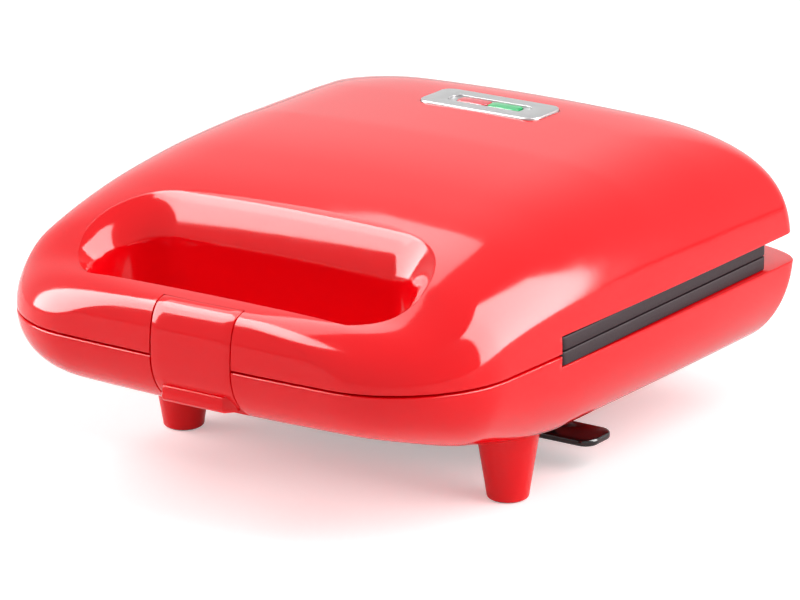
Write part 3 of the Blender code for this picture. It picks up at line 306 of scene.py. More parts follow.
def add_node(tree: bpy.types.NodeTree, kind: str, inputs: dict[str, object] | None = None,
             **settings: object) -> bpy.types.Node:
    """Adds a node with its settings, values and links.

    Args:
        tree: The node tree.
        kind: Type name of the node.
        inputs: A value or an output socket for each named or numbered input.
        settings: Attributes of the node.

    Returns:
        The new node.
    """
    node = tree.nodes.new(kind)
    for name, value in settings.items():
        setattr(node, name, value)
    for name, value in (inputs or {}).items():
        if isinstance(value, bpy.types.NodeSocket):
            tree.links.new(value, node.inputs[name])
        else:
            node.inputs[name].default_value = value
    return node


def any_ray(tree: bpy.types.NodeTree, *kinds: str) -> bpy.types.NodeSocket:
    """An output that is 1 for rays of any of the named kinds of the Light Path node, else 0.

    Args:
        tree: The node tree.
        kinds: Names of the Light Path outputs.

    Returns:
        The last node's output.
    """
    path = add_node(tree, "ShaderNodeLightPath")
    either = path.outputs[kinds[0]]
    for kind in kinds[1:]:
        either = add_node(tree, "ShaderNodeMath", {0: either, 1: path.outputs[kind]}, operation="MAXIMUM").outputs[0]
    return either


def cleared_tree(owner: bpy.types.ID) -> bpy.types.NodeTree:
    """Turns the nodes of a material or a world on, and empties their tree.

    Args:
        owner: The material or the world.

    Returns:
        Its empty tree.
    """
    owner.use_nodes = True
    owner.node_tree.nodes.clear()
    return owner.node_tree


@dataclass(frozen=True)
class Finish:
    """A surface: its colour, gloss, and how fine unevenness changes them at a real scale in millimetres."""

    name: str
    slot: Slot
    colour: str
    second_colour: str
    roughness: float
    roughness_spread: float
    grain_mm: float
    bump_mm: float
    metallic: float = 0.0
    ior: float = 1.5
    coat: float = 0.0
    coat_roughness: float = 0.05
    subsurface: float = 0.0
    subsurface_mm: float = 1.5
    brushed: float = 1.0
    transmission: float = 0.0
    grain_detail: float = 3.0
    grain_roughness: float = 0.55
    grain_range: tuple[float, float] = (0.3, 0.7)
    cloud_scale: float = 28.0
    cloud_detail: float = 2.0

    def build(self) -> bpy.types.Material:
        """Makes the material: noise at the grain's size moves the colour, the roughness and the bump.

        Returns:
            The new material.
        """
        material = bpy.data.materials.new(self.name)
        tree = cleared_tree(material)
        place_of = add_node(tree, "ShaderNodeTexCoord")
        scaled = add_node(tree, "ShaderNodeMapping", {"Vector": place_of.outputs["Object"],
                                                      "Scale": (1.0 / self.brushed, 1.0, 1.0)})
        grain = add_node(tree, "ShaderNodeTexNoise", {"Vector": scaled.outputs[0], "Scale": 1000 / self.grain_mm,
                                                      "Detail": self.grain_detail,
                                                      "Roughness": self.grain_roughness})
        cloud = add_node(tree, "ShaderNodeTexNoise", {"Vector": place_of.outputs["Object"],
                                                      "Scale": self.cloud_scale, "Detail": self.cloud_detail})
        mixed = add_node(tree, "ShaderNodeMix", {"Factor": cloud.outputs["Fac"], "A": linear(self.colour),
                                                 "B": linear(self.second_colour)}, data_type="RGBA")
        gloss = add_node(tree, "ShaderNodeMapRange", {
            "Value": grain.outputs["Fac"], "From Min": self.grain_range[0], "From Max": self.grain_range[1],
            "To Min": self.roughness - self.roughness_spread, "To Max": self.roughness + self.roughness_spread})
        bump = add_node(tree, "ShaderNodeBump", {"Height": grain.outputs["Fac"], "Strength": 1.0,
                                                 "Distance": self.bump_mm / 1000})
        shader = add_node(tree, "ShaderNodeBsdfPrincipled", {
            "Base Color": mixed.outputs["Result"], "Roughness": gloss.outputs["Result"],
            "Normal": bump.outputs["Normal"], "Metallic": self.metallic, "IOR": self.ior,
            "Coat Weight": self.coat, "Coat Roughness": self.coat_roughness,
            "Transmission Weight": self.transmission,
            "Subsurface Weight": self.subsurface, "Subsurface Scale": self.subsurface_mm / 1000})
        add_node(tree, "ShaderNodeOutputMaterial", {"Surface": shader.outputs["BSDF"]})
        return material


# Injection-moulded gloss ABS: saturated, almost without texture, with a faint long unevenness in its reflections.
RED_ABS = Finish("gloss_moulded_abs_red", Slot.RED, "#E8030F", "#EB0512", 0.09, 0.015, 9.0, 0.010,
                 ior=1.36)
# Sprayed non-stick coating on cast aluminium: dark warm grey, satin, with a fine speckle.
NON_STICK = Finish("sprayed_non_stick_on_cast_aluminium", Slot.COATING, "#26161B", "#2E1C21", 0.48, 0.08, 0.5, 0.02,
                   ior=1.27)
# Moulded polypropylene, polished tool: black with a clear gloss.
BLACK_PP = Finish("gloss_moulded_polypropylene_black", Slot.BLACK, "#0B0B0C", "#121213", 0.16, 0.03, 1.2, 0.004)
# Moulded silicone rubber pads: dark, dull, finely pitted.
RUBBER = Finish("moulded_silicone_rubber", Slot.RUBBER, "#1B1A1A", "#242323", 0.8, 0.08, 0.4, 0.03)
# Silver-painted moulded ABS: a fine metallic flake under a satin clear coat.
SILVER = Finish("silver_painted_moulded_abs", Slot.SILVER, "#9C9C9C", "#A4A4A5", 0.34, 0.05, 0.25, 0.004, 0.35,
                coat=0.3, coat_roughness=0.15)
# Tinted moulded polycarbonate: smooth, and light spreads a little way inside it.
RED_PC = Finish("tinted_moulded_polycarbonate_red", Slot.RED_LENS, "#D8323E", "#E04650", 0.12, 0.02, 2.0, 0.004,
                subsurface=0.4)
GREEN_PC = Finish("tinted_moulded_polycarbonate_green", Slot.GREEN_LENS, "#0CB264", "#16BC6E", 0.12, 0.02, 2.0,
                  0.004, subsurface=0.4)
# Zinc-plated pressed steel: grey metal with a fine drawn grain.
PLATED_STEEL = Finish("zinc_plated_pressed_steel", Slot.STEEL, "#B9BABD", "#A9AAAE", 0.32, 0.07, 0.6, 0.006, 1.0,
                      brushed=6.0)
# Sheathed heating element in stainless steel: darkened by heat, half matt.
ELEMENT_STEEL = Finish("heat_darkened_stainless_steel", Slot.ELEMENT, "#6E655C", "#857A6E", 0.42, 0.08, 0.8, 0.01,
                       1.0)
# Pressed aluminised sheet: pale metal with a fine rolled grain.
ALUMINISED = Finish("rolled_aluminised_sheet", Slot.SHEET, "#C9CACC", "#BBBCBF", 0.3, 0.08, 0.9, 0.006, 1.0,
                    brushed=8.0)
# Unglazed pressed steatite: off-white, matt and slightly grainy.
STEATITE = Finish("unglazed_pressed_steatite", Slot.CERAMIC, "#DCD5C8", "#CFC7B8", 0.7, 0.08, 0.5, 0.03)
# Drawn clear glass of the lamps.
LAMP_GLASS = Finish("drawn_lamp_glass", Slot.GLASS, "#EFEAE4", "#E8E2DB", 0.06, 0.02, 3.0, 0.002, transmission=0.8)

SIDES = {"left": -1, "right": 1}
CORNERS = ("front_left", "front_right", "rear_left", "rear_right")
PAIRED_STEEL = ("hook_screw", "hinge_bracket", "hinge_arm", "hinge_pin")
NODE_FINISHES = {
    BLACK_PP: ("base_cover", "cord_gland"),
    PLATED_STEEL: (
        *(f"{screw}_{corner}" for screw in ("foot_screw", "cover_screw") for corner in CORNERS),
        *(f"{piece}_{side}" for piece in PAIRED_STEEL for side in SIDES),
        "upper_plate_screw", "lower_plate_screw", "latch_pin",
    ),
    ELEMENT_STEEL: ("upper_element", "lower_element"),
    ALUMINISED: ("upper_heat_shield", "lower_heat_shield"),
    STEATITE: ("lamp_holder", "thermostat", "thermal_fuse"),
    LAMP_GLASS: ("red_lamp", "green_lamp"),
}


class Paint:
    """Makes each finish's material once and puts it on pieces."""

    def __init__(self) -> None:
        """Starts with no material made."""
        self.made: dict[str, bpy.types.Material] = {}

    def material(self, finish: Finish) -> bpy.types.Material:
        """The finish's material.

        Args:
            finish: The finish.

        Returns:
            Its material, made at the first call.
        """
        if finish.name not in self.made:
            self.made[finish.name] = finish.build()
        return self.made[finish.name]

    def dress(self, obj: bpy.types.Object, finish: Finish) -> None:
        """Puts a finish on a piece, as its only material.

        Args:
            obj: The piece.
            finish: Its finish.
        """
        obj.data.materials.clear()
        obj.data.materials.append(self.material(finish))

    def skin(self, name: str, rows: Array, finish: Finish, body: Body, *nodes: str,
             sharp_degrees: float = 35.0) -> None:
        """Adds a skin through a stack of loops as a piece, with the arguments of skin_of, settle and add."""
        self.add(settle(skin_of(name, rows), sharp_degrees), finish, body, *nodes)

    def add(self, obj: bpy.types.Object, finish: Finish, body: Body, *nodes: str) -> bpy.types.Object:
        """Dresses a new piece, puts it on a body, and lets it stand for CAD nodes.

        Args:
            obj: The piece.
            finish: Its finish.
            body: The body that it rides on.
            nodes: Names of the nodes that it replaces.

        Returns:
            The same piece.
        """
        self.dress(obj, finish)
        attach(obj, body.value)
        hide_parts(*nodes)
        LOG.info("%s: %d faces, %s, stands for %s", obj.name, len(obj.data.polygons), finish.name, ", ".join(nodes))
        return obj


# ---- Housings ----


@dataclass(frozen=True)
class Skin:
    """Outer form of one housing, in plan and in height."""

    way: int
    height: float
    dome: float
    crown_shares: tuple[tuple[float, float], ...]
    roll_front: float
    roll_side: float
    roll_rear: float
    power: float
    foot_power: float
    rear: float
    band: float
    front_corner_end: tuple[float, float] = (0.0253, 0.0239)
    rear_corner_end: tuple[float, float] = (0.0209, 0.0088)
    corner_swell: tuple[float, float] = (0.0, 0.0)
    taper_end: float = 0.055
    taper_swell: float = 0.0
    bow_end: float = 0.0039
    front_corner: tuple[float, float] = (0.046, 0.0435)
    rear_corner: tuple[float, float] = (0.038, 0.016)
    bow: float = 0.0039
    taper: float = 0.055

    def crown(self, y: Array) -> Array:
        """Height of the middle line: a smooth cubic through the table of shares, level beyond its highest.

        Args:
            y: Y of the points.

        Returns:
            Height from the parting plane at each point.
        """
        knots = np.array(self.crown_shares)
        at, value = FRONT + knots[:, 0] * DEPTH, knots[:, 1] * self.height
        slope = np.gradient(value, at)
        y = np.clip(y, at[0], at[-1])
        i = np.clip(np.searchsorted(at, y) - 1, 0, len(at) - 2)
        span, rise = at[i + 1] - at[i], value[i + 1] - value[i]
        t = (y - at[i]) / span
        bend = (slope[i] * span - rise) * (1 - t) + (rise - slope[i + 1] * span) * t
        return np.minimum(value[i] + rise * t + t * (1 - t) * bend, self.height)

    def rounding(self, share: Array) -> Array:
        """Share of the full height at a share of the roll: (1 - (1 - share)^p)^(1/q)."""
        return (1 - (1 - share) ** self.power) ** (1 / self.foot_power)

    def share_for(self, rounding: Array) -> Array:
        """The share of the roll at which the rounding has a value."""
        return 1 - (1 - np.clip(rounding, 0, 1) ** self.foot_power) ** (1 / self.power)

    def full(self, x: Array, y: Array) -> Array:
        """Height inside the rolls: the crown, less a dome share that grows with the square of x."""
        return self.crown(y) * (1 - self.dome * (x / (WIDTH / 2)) ** 2)

    def sizes(self, share: Array, inset: float) -> tuple[Array, Array, Array, tuple, tuple]:
        """Half width, front, rear and corner sizes of the outline at a share of the roll.

        Corners go evenly from their outer to their end sizes, with a swell of 4 share (1 - share) in front.

        Args:
            share: Share of the roll.
            inset: How far the outline is drawn in all round.

        Returns:
            Half width, Y of the front and of the rear, and the sizes in X and Y of both corners.
        """
        across = WIDTH / 2 - inset - self.roll_side * share
        front = FRONT + inset + self.roll_front * share
        rear = self.rear - inset - self.roll_rear * share
        swell = 4 * share * (1 - share)
        front_corner = tuple(a + (b - a) * share + c * swell
                             for a, b, c in zip(self.front_corner, self.front_corner_end, self.corner_swell))
        rear_corner = tuple(a + (b - a) * share for a, b in zip(self.rear_corner, self.rear_corner_end))
        return across, front, rear, front_corner, rear_corner

    def lean(self, share: Array) -> tuple[Array, Array]:
        """Bow of the front and taper of the sides at a share of the roll."""
        taper = self.taper + (self.taper_end - self.taper) * share + 4 * self.taper_swell * share * (1 - share)
        return self.bow + (self.bow_end - self.bow) * share, taper

    def outline(self, u: Array, share: Array, inset: float = 0.0) -> tuple[Array, Array]:
        """Right half of the plan outline at a share of the roll.

        The rounded path is bowed by bow (x/across)^2 (1 - along) and narrowed by 1 - taper (1 - along)^2,
        where along runs from 0 at the front to 1 at the rear.

        Args:
            u: Place along the path, 0 to 5.
            share: Share of the roll, 0 on the outside.
            inset: How far the outline is drawn in all round.

        Returns:
            X and Y of the points.
        """
        across, front, rear, front_corner, rear_corner = self.sizes(share, inset)
        x, y = rounded_path(u, across, front, rear, front_corner, rear_corner)
        along = (y - front) / (rear - front)
        bow, taper = self.lean(share)
        y = y + bow * (x / across) ** 2 * (1 - along)
        return x * (1 - taper * (1 - along) ** 2), y

    def inside(self, x: Array, y: Array, share: Array) -> Array:
        """Whether points in plan lie inside the outline at a share of the roll.

        The bow and the taper are undone first, by a few rounds of substitution.

        Args:
            x: X of the points.
            y: Y of the points.
            share: Share of the roll for each point.

        Returns:
            True or False for each point.
        """
        across, front, rear, front_corner, rear_corner = self.sizes(share, 0.0)
        bow, taper = self.lean(share)
        flat_x, flat_y = x, y
        for _ in range(UNDO_ROUNDS):
            along = (flat_y - front) / (rear - front)
            flat_x = x / (1 - taper * (1 - along) ** 2)
            flat_y = y - bow * (flat_x / across) ** 2 * (1 - along)
        result = np.ones(np.shape(x), bool)
        for corner, beyond in ((front_corner, front + front_corner[1] - flat_y),
                               (rear_corner, flat_y - rear + rear_corner[1])):
            out = np.maximum(np.abs(flat_x) - across + corner[0], 0) / corner[0]
            away = np.maximum(beyond, 0) / corner[1]
            result &= out**2 + away**2 <= 1
        return result

    def share_at(self, x: Array, y: Array) -> Array:
        """The share of the roll at points in plan, by halving, 1 where they lie within all of the rolls.

        Args:
            x: X of the points.
            y: Y of the points.

        Returns:
            The share at each point.
        """
        low, high = np.zeros(np.shape(x)), np.ones(np.shape(x))
        whole = self.inside(x, y, high)
        for _ in range(HALVINGS):
            middle = (low + high) / 2
            held = self.inside(x, y, middle)
            low, high = np.where(held, middle, low), np.where(held, high, middle)
        return np.where(whole, 1.0, low)

    def share_at_height(self, u: Array, height: Array | float) -> Array:
        """The share of the roll at which places along the outline reach a height, by a few rounds of substitution.

        Args:
            u: Places along the outline.
            height: The height that they reach.

        Returns:
            The share at each place.
        """
        share = np.zeros_like(u)
        for _ in range(SEARCH_ROUNDS):
            share = self.share_for(height / self.full(*self.outline(u, share)))
        return share

    def height_at(self, x: Array, y: Array) -> Array:
        """Height of the skin over points in plan."""
        return self.full(x, y) * self.rounding(self.share_at(x, y))

    def to_z(self, height: Array) -> Array:
        """Level of a height from the parting plane."""
        return PARTING_Z + self.way * height

    def deck(self) -> float:
        """Level of the face that the plate lies against."""
        return float(self.to_z(np.array(self.band)))


LID_SKIN = Skin(
    way=1, height=0.0519, dome=0.098,
    crown_shares=((0, 0.372), (0.047, 0.405), (0.095, 0.44), (0.172, 0.653), (0.275, 0.826),
                  (0.39, 0.931), (0.58, 1), (0.765, 1), (1, 0.955)),
    roll_front=0.0095, roll_side=0.0567, roll_rear=0.050, power=3.2, foot_power=2.6,
    rear=REAR - 0.0025, band=0.0070,
    front_corner_end=(0.0589, 0.0228), rear_corner_end=(0.0178, 0.0248), corner_swell=(0.020, -0.0055),
    taper_end=0.0005, taper_swell=-0.0445, bow_end=0.0045,
)
BOWL_SKIN = Skin(
    way=-1, height=0.039, dome=0.05,
    crown_shares=((0, 0.54), (0.055, 0.555), (0.172, 0.735), (0.3, 0.925), (0.39, 1), (0.7, 1), (1, 1)),
    roll_front=0.0195, roll_side=0.0225, roll_rear=0.017, power=2.05, foot_power=2.05, rear=REAR, band=0.0044,
)


@dataclass(frozen=True)
class FingerOpening:
    """The opening behind the handle bar, with a wide rolled rim."""

    bar_depth: float = 0.024
    width: float = 0.133
    rear_distance: float = 0.0565
    front_radius: float = 0.013
    rear_radius: float = 0.018
    rim_across: float = 0.0086
    rim_down: float = 0.0145
    rim_sweep_degrees: float = 42.0

    def path(self, v: Array, grow: Array) -> tuple[Array, Array]:
        """Right half of the wall's outline, grown outwards, at places 0 to 5 along it.

        Args:
            v: Places along the path, 0 to 5.
            grow: How far the outline is moved outwards.

        Returns:
            X and Y of the points.
        """
        front_radius, rear_radius = self.front_radius + grow, self.rear_radius + grow
        return rounded_path(v, self.width / 2 + grow, FRONT + self.bar_depth - grow, FRONT + self.rear_distance + grow,
                            (front_radius, front_radius), (rear_radius, rear_radius))

    def rim(self, t: Array) -> tuple[Array, Array]:
        """Section of the rolled rim: growth across (1 - cos t)/(1 - cos T), depth down (1 - sin t / sin T).

        Args:
            t: Share of the sweep T, from 0 on the wall to 1 on the skin.

        Returns:
            Growth of the outline, and depth below the skin.
        """
        sweep = math.radians(self.rim_sweep_degrees)
        grow = self.rim_across * (1 - np.cos(t * sweep)) / (1 - math.cos(sweep))
        return grow, self.rim_down * (1 - np.sin(t * sweep) / math.sin(sweep))


@dataclass(frozen=True)
class Housing:
    """One moulded housing: a ring-shaped skin round the finger opening, with a step down to the plate's deck."""

    node: str
    skin: Skin
    body: Body
    opening: FingerOpening = FingerOpening()
    cells: int = 300
    band_front: float = 0.0812
    parting_gap: float = 0.0004
    edge_radius: float = 0.0005
    join_share: float = 0.85
    wall_rows: int = 4
    rim_rows: int = 16
    middle_rows: int = 40
    roll_rows: int = 38
    foot_rows: int = 8
    shoulder_height: float = 0.0082
    edge_rows: int = 5
    step_columns_apart: float = 0.00004
    least_reach: float = 0.01
    last_share: float = 0.9
    outer_places: tuple[float, ...] = (0, 1, 2, 2.15, 2.55, 4, 5)
    opening_places: tuple[float, ...] = (0, 1, 2.5, 3.5, 4, 4.35, 5)

    def columns(self) -> Array:
        """Places along the right half outline, evenly spaced, with a close pair at the step to the band.

        Returns:
            Places 0 to 5 along the outline.
        """
        dense = np.linspace(0, 5, 6001)
        x, y = self.skin.outline(dense, np.zeros_like(dense))
        length = np.concatenate(([0], np.cumsum(np.hypot(np.diff(x), np.diff(y)))))
        even = np.interp(np.linspace(0, length[-1], self.cells + 1), length, dense)
        side = (dense >= 2) & (dense <= 3)
        half_gap = self.step_columns_apart / 2
        step_y = FRONT + self.band_front
        pair = np.interp([step_y - half_gap, step_y + half_gap], y[side], dense[side])
        nearest = np.argsort(np.abs(even - pair.mean()))[:2]
        even[np.sort(nearest)] = pair
        return even

    def rows(self) -> Array:
        """Points of the skin, row by row from the opening's wall over the skin to the underside and back.

        Wall and rim: the opening's outline grown by g at height skin(x, y) - depth(g). Middle: straight lines
        in plan from the rim to the roll, at height skin(x, y). Roll: the outline at a share s, with
        1 - s = cos(f)^(2/p) for even steps of f down to the shoulder height, and again to the edge. Edge: a quarter
        round. Underside: straight lines in plan, at the parting gap in front of the band and at the band's height
        behind it.

        Returns:
            Points (rows, columns, 3) of the whole skin, closed both ways.
        """
        skin, opening = self.skin, self.opening
        u = self.columns()
        v = np.interp(u, self.outer_places, self.opening_places)
        rim_x, rim_y = opening.path(v, np.array(opening.rim_across))
        behind = skin.outline(u, np.zeros_like(u))[1] > FRONT + self.band_front
        low = np.where(behind, skin.band, self.parting_gap)
        radius = self.edge_radius

        parts = []
        near, away = (distance[:, None] for distance in quarter(radius, self.edge_rows))
        wall_x, wall_y = opening.path(v, np.zeros_like(v))
        foot_x, foot_y = opening.path(v, away)
        parts.append((foot_x, foot_y, self.parting_gap + near + 0 * foot_x))
        grow, depth = opening.rim(np.linspace(0, 1, self.rim_rows)[:, None])
        roll_x, roll_y = opening.path(v, grow)
        roll_z = skin.height_at(roll_x, roll_y) - depth
        up = np.linspace(0, 1, self.wall_rows + 1)[1:-1, None]
        start = self.parting_gap + radius
        parts.append((wall_x + 0 * up, wall_y + 0 * up, start + (roll_z[0] - start) * up))
        parts.append((roll_x, roll_y, roll_z))

        join = self.join_share * skin.share_at(rim_x, rim_y)
        join_x, join_y = skin.outline(u, join)
        w = np.linspace(0, 1, self.middle_rows + 2)[1:-1, None]
        middle_x, middle_y = rim_x + (join_x - rim_x) * w, rim_y + (join_y - rim_y) * w
        parts.append((middle_x, middle_y, skin.height_at(middle_x, middle_y)))

        end = skin.share_at_height(u, low + radius)
        shoulder = skin.share_at_height(u, self.shoulder_height)
        first, middle, last = (np.arccos((1 - share) ** (skin.power / 2)) for share in (join, shoulder, end))
        angle = np.concatenate((first + (middle - first) * np.linspace(0, 1, self.roll_rows)[:, None],
                                middle + (last - middle) * np.linspace(0, 1, self.foot_rows + 1)[1:, None]))
        share = np.clip(1 - np.cos(angle) ** (2 / skin.power), 0, 1)
        side_x, side_y = skin.outline(u, share)
        parts.append((side_x, side_y, skin.full(side_x, side_y) * skin.rounding(share)))

        rounds_x, rounds_y = skin.outline(u, end + 0 * near[1:], near[1:])
        parts.append((rounds_x, rounds_y, low + away[1:] + 0 * rounds_x))
        parts.append(self.underside((rounds_x[-1], rounds_y[-1]), (foot_x[0], foot_y[0]), low))
        x, y, height = (np.concatenate([part[i] for part in parts]) for i in range(3))
        return np.stack((both_halves(x, -1), both_halves(y), skin.to_z(both_halves(height))), axis=-1)

    def underside(self, outer: tuple[Array, Array], inner: tuple[Array, Array], low: Array) -> tuple:
        """Rows between the outer edge and the opening's wall, with an upright step where they cross the band's front.

        Args:
            outer: X and Y of the outer edge.
            inner: X and Y of the wall's foot.
            low: Height at the outer edge.

        Returns:
            X, Y and height of the rows.
        """
        step_y = FRONT + self.band_front
        crosses = low > self.parting_gap
        cross = np.where(crosses, (outer[1] - step_y) / np.where(crosses, outer[1] - inner[1], 1), 0.5)
        near = self.step_columns_apart / np.maximum(np.abs(outer[1] - inner[1]), self.least_reach)
        t = np.stack((cross / 2, np.maximum(cross - near, cross * self.last_share), cross + near, (1 + cross) / 2))
        x, y = outer[0] + (inner[0] - outer[0]) * t, outer[1] + (inner[1] - outer[1]) * t
        height = np.where(np.arange(4)[:, None] < 2, low, self.parting_gap) + 0 * t
        return x, y, height

    def build(self, paint: Paint, cutters: list[bpy.types.Object]) -> None:
        """Makes the housing's skin, cuts the rooms for other pieces out of it, and dresses it.

        Args:
            paint: Maker of the materials.
            cutters: What is cut out of it.
        """
        housing = skin_of(self.node + "_skin", self.rows(), capped=False)
        carve(housing, cutters)
        paint.add(housing, RED_ABS, self.body, self.node)


# ---- Pieces ----


def round_cutter(name: str, half_length: float, y: float, z: float, radius: float) -> bpy.types.Object:
    """A cylinder along X, for cutting: (y + r cos a, z + r sin a).

    Args:
        name: Name of the cutter.
        half_length: Half of its length.
        y: Y of its axis.
        z: Level of its axis.
        radius: Its radius.

    Returns:
        The cutter.
    """
    angle = np.linspace(0, 2 * math.pi, 64, endpoint=False)
    ring_y, ring_z = y + radius * np.cos(angle), z + radius * np.sin(angle)
    return skin_of(name, levelled([(np.column_stack((ring_y, ring_z)), x)
                                   for x in (-half_length, half_length)])[..., (2, 0, 1)])


def slab_rows(outline: Callable[[Array], Array], low: float, high: float, radius: float, steps: int = 5) -> Array:
    """Loops of a flat piece with rounded edges: the outline drawn in by r (1 - cos a) at r (1 - sin a) from a face.

    Args:
        outline: Gives the outline's points for an amount that it is grown by.
        low: Level of its lower face.
        high: Level of its upper face.
        radius: Radius of both edges.
        steps: Loops in each edge.

    Returns:
        Points (rows, columns, 3).
    """
    rise, inset = quarter(radius, steps)
    loops = [(-g, low + h) for g, h in zip(inset, rise)]
    loops += [(-g, high - h) for g, h in zip(inset[::-1], rise[::-1])]
    return levelled([(outline(grow), level) for grow, level in loops])


def turned_rows(profile: Array, x: float, y: float, columns: int = 96) -> Array:
    """Loops of a turned piece about an upright axis: (x + r cos a, y + r sin a, z) for each (r, z).

    Args:
        profile: Radius and level of each loop.
        x: X of the axis.
        y: Y of the axis.
        columns: Points in each loop.

    Returns:
        Points (rows, columns, 3).
    """
    angle = np.linspace(0, 2 * math.pi, columns, endpoint=False)
    radius, level = profile[:, 0, None], profile[:, 1, None]
    return np.stack((x + radius * np.cos(angle), y + radius * np.sin(angle), level + 0 * angle), axis=-1)


@dataclass(frozen=True)
class Latch:
    """The clip that hooks over the handle bar: its section follows both housings' front skins."""

    width: float = 0.0352
    seam: float = 0.0006
    sheet: float = 0.003
    pin_back: float = 0.0085
    pin_rise: float = 0.0128
    recess: float = 0.0145
    end_share: float = 0.30
    lip_top_share: float = 0.14
    lip_width: float = 0.0335
    lip_flat_width: float = 0.0270
    lip_out: float = 0.0020
    lip_drop: float = 0.0016
    lip_lean: float = 0.0009
    lip_under: float = 0.0012
    lip_end_reach: float = 0.35
    inner_rise_share: float = 0.06
    edge: float = 0.0003
    head_sweep_degrees: float = 150.0
    upper_crowding: float = 2.6
    recess_out: float = 0.010
    nose_out: float = 0.012
    nose_low: float = 0.001
    nose_over: float = 0.05
    head_seam: float = 0.000075

    def front_line(self, skin: Skin, share: Array) -> Array:
        """Distance from the front and signed height of a skin's middle section at shares of its roll."""
        distance = skin.roll_front * share
        return np.column_stack((distance, skin.way * skin.crown(FRONT + distance) * skin.rounding(share)))

    def head_radius(self) -> float:
        """Radius of the round head about the pin, which meets the lid's skin."""
        share = np.array([self.pin_back / LID_SKIN.roll_front])
        return float(self.front_line(LID_SKIN, share)[0, 1]) - self.pin_rise

    def section(self) -> Array:
        """Closed section (distance, height): the skins outside, a sheet's thickness inside, a round head.

        Returns:
            Points (count, 2).
        """
        crowded = np.linspace(1, 0, 40) ** self.upper_crowding
        upper = self.front_line(LID_SKIN, self.pin_back / LID_SKIN.roll_front * crowded)
        lower = self.front_line(BOWL_SKIN, self.end_share * np.linspace(0, 1, 22)[1:] ** 2)
        inner = self.front_line(BOWL_SKIN, np.array((self.end_share, self.lip_top_share, 0.0)))
        inner = np.vstack((inner, self.front_line(LID_SKIN, np.array([self.inner_rise_share])))) + (self.sheet, 0.0)
        turn = np.radians(np.linspace(self.head_sweep_degrees, 0, 24))[:-1]
        radius = self.head_radius()
        head = np.column_stack((self.pin_back + radius * np.sin(turn), self.pin_rise + radius * np.cos(turn)))
        return np.vstack((upper, lower, inner, head))

    def carry(self, name: str, section: Array, x: Array, forward: Array) -> bpy.types.Object:
        """Carries a section along X, bowed as the housings are: y = front + distance + bow (x / half width)^2.

        Args:
            name: Name of the piece.
            section: Distance from the front and height of its points.
            x: Places of the loops.
            forward: Share of each loop's reach in front of its rearmost point.

        Returns:
            The piece, with flat ends.
        """
        bow = LID_SKIN.bow * (x / (WIDTH / 2)) ** 2
        back = section[:, 0].max()
        distance = back + (section[None, :, 0] - back) * forward[:, None]
        y = FRONT + distance + bow[:, None]
        z = PARTING_Z + section[None, :, 1] + 0 * y
        return skin_of(name, np.stack((x[:, None] + 0 * y, y, z), axis=-1))

    def lip_section(self) -> Array:
        """Section of the pull lip, from inside the clip out to its front and under.

        Returns:
            Points (count, 2).
        """
        top = self.front_line(BOWL_SKIN, np.array([self.lip_top_share]))[0]
        end = self.front_line(BOWL_SKIN, np.array([self.end_share]))[0]
        front, low, root = top[0] - self.lip_out, end[1] - self.lip_drop, self.sheet / 2
        under = self.lip_under
        return np.array(((top[0] + root, top[1]), (front + self.lip_lean, top[1]), (front, low + under),
                         (front + under, low), (end[0] + root, low), (end[0] + root, end[1])))

    def cutters(self) -> list[bpy.types.Object]:
        """What each housing loses round the clip.

        Returns:
            The cutters.
        """
        reach = self.width / 2 + self.seam
        pin_y, pin_z = FRONT + self.pin_back, PARTING_Z + self.pin_rise
        return [
            box_cutter("latch_recess", (-reach, FRONT - self.recess_out, 0.0),
                       (reach, FRONT + self.recess, pin_z)),
            box_cutter("latch_nose", (-reach, FRONT - self.nose_out, self.nose_low),
                       (reach, pin_y, PARTING_Z + self.nose_over)),
            round_cutter("latch_head", reach, pin_y, pin_z, self.head_radius() + self.head_seam),
        ]

    def build(self, paint: Paint) -> None:
        """Makes the clip and its pull lip.

        Args:
            paint: Maker of the materials.
        """
        half = self.width / 2
        x = np.linspace(-half, half, 9)
        clip = self.carry("latch_clip_skin", self.section(), x, np.ones_like(x))
        soften(clip, self.edge)
        settle(clip, 30)
        paint.add(clip, RED_ABS, Body.LATCH, "latch_clip")
        flat, out = self.lip_flat_width / 2, self.lip_width / 2
        x = np.concatenate(([-out], np.linspace(-flat, flat, 5), [out]))
        forward = np.concatenate(([self.lip_end_reach], np.ones(5), [self.lip_end_reach]))
        lip = self.carry("latch_pull_lip", self.lip_section(), x, forward)
        soften(lip, self.edge, angle_degrees=20)
        settle(lip, 30)
        paint.add(lip, RED_ABS, Body.LATCH)


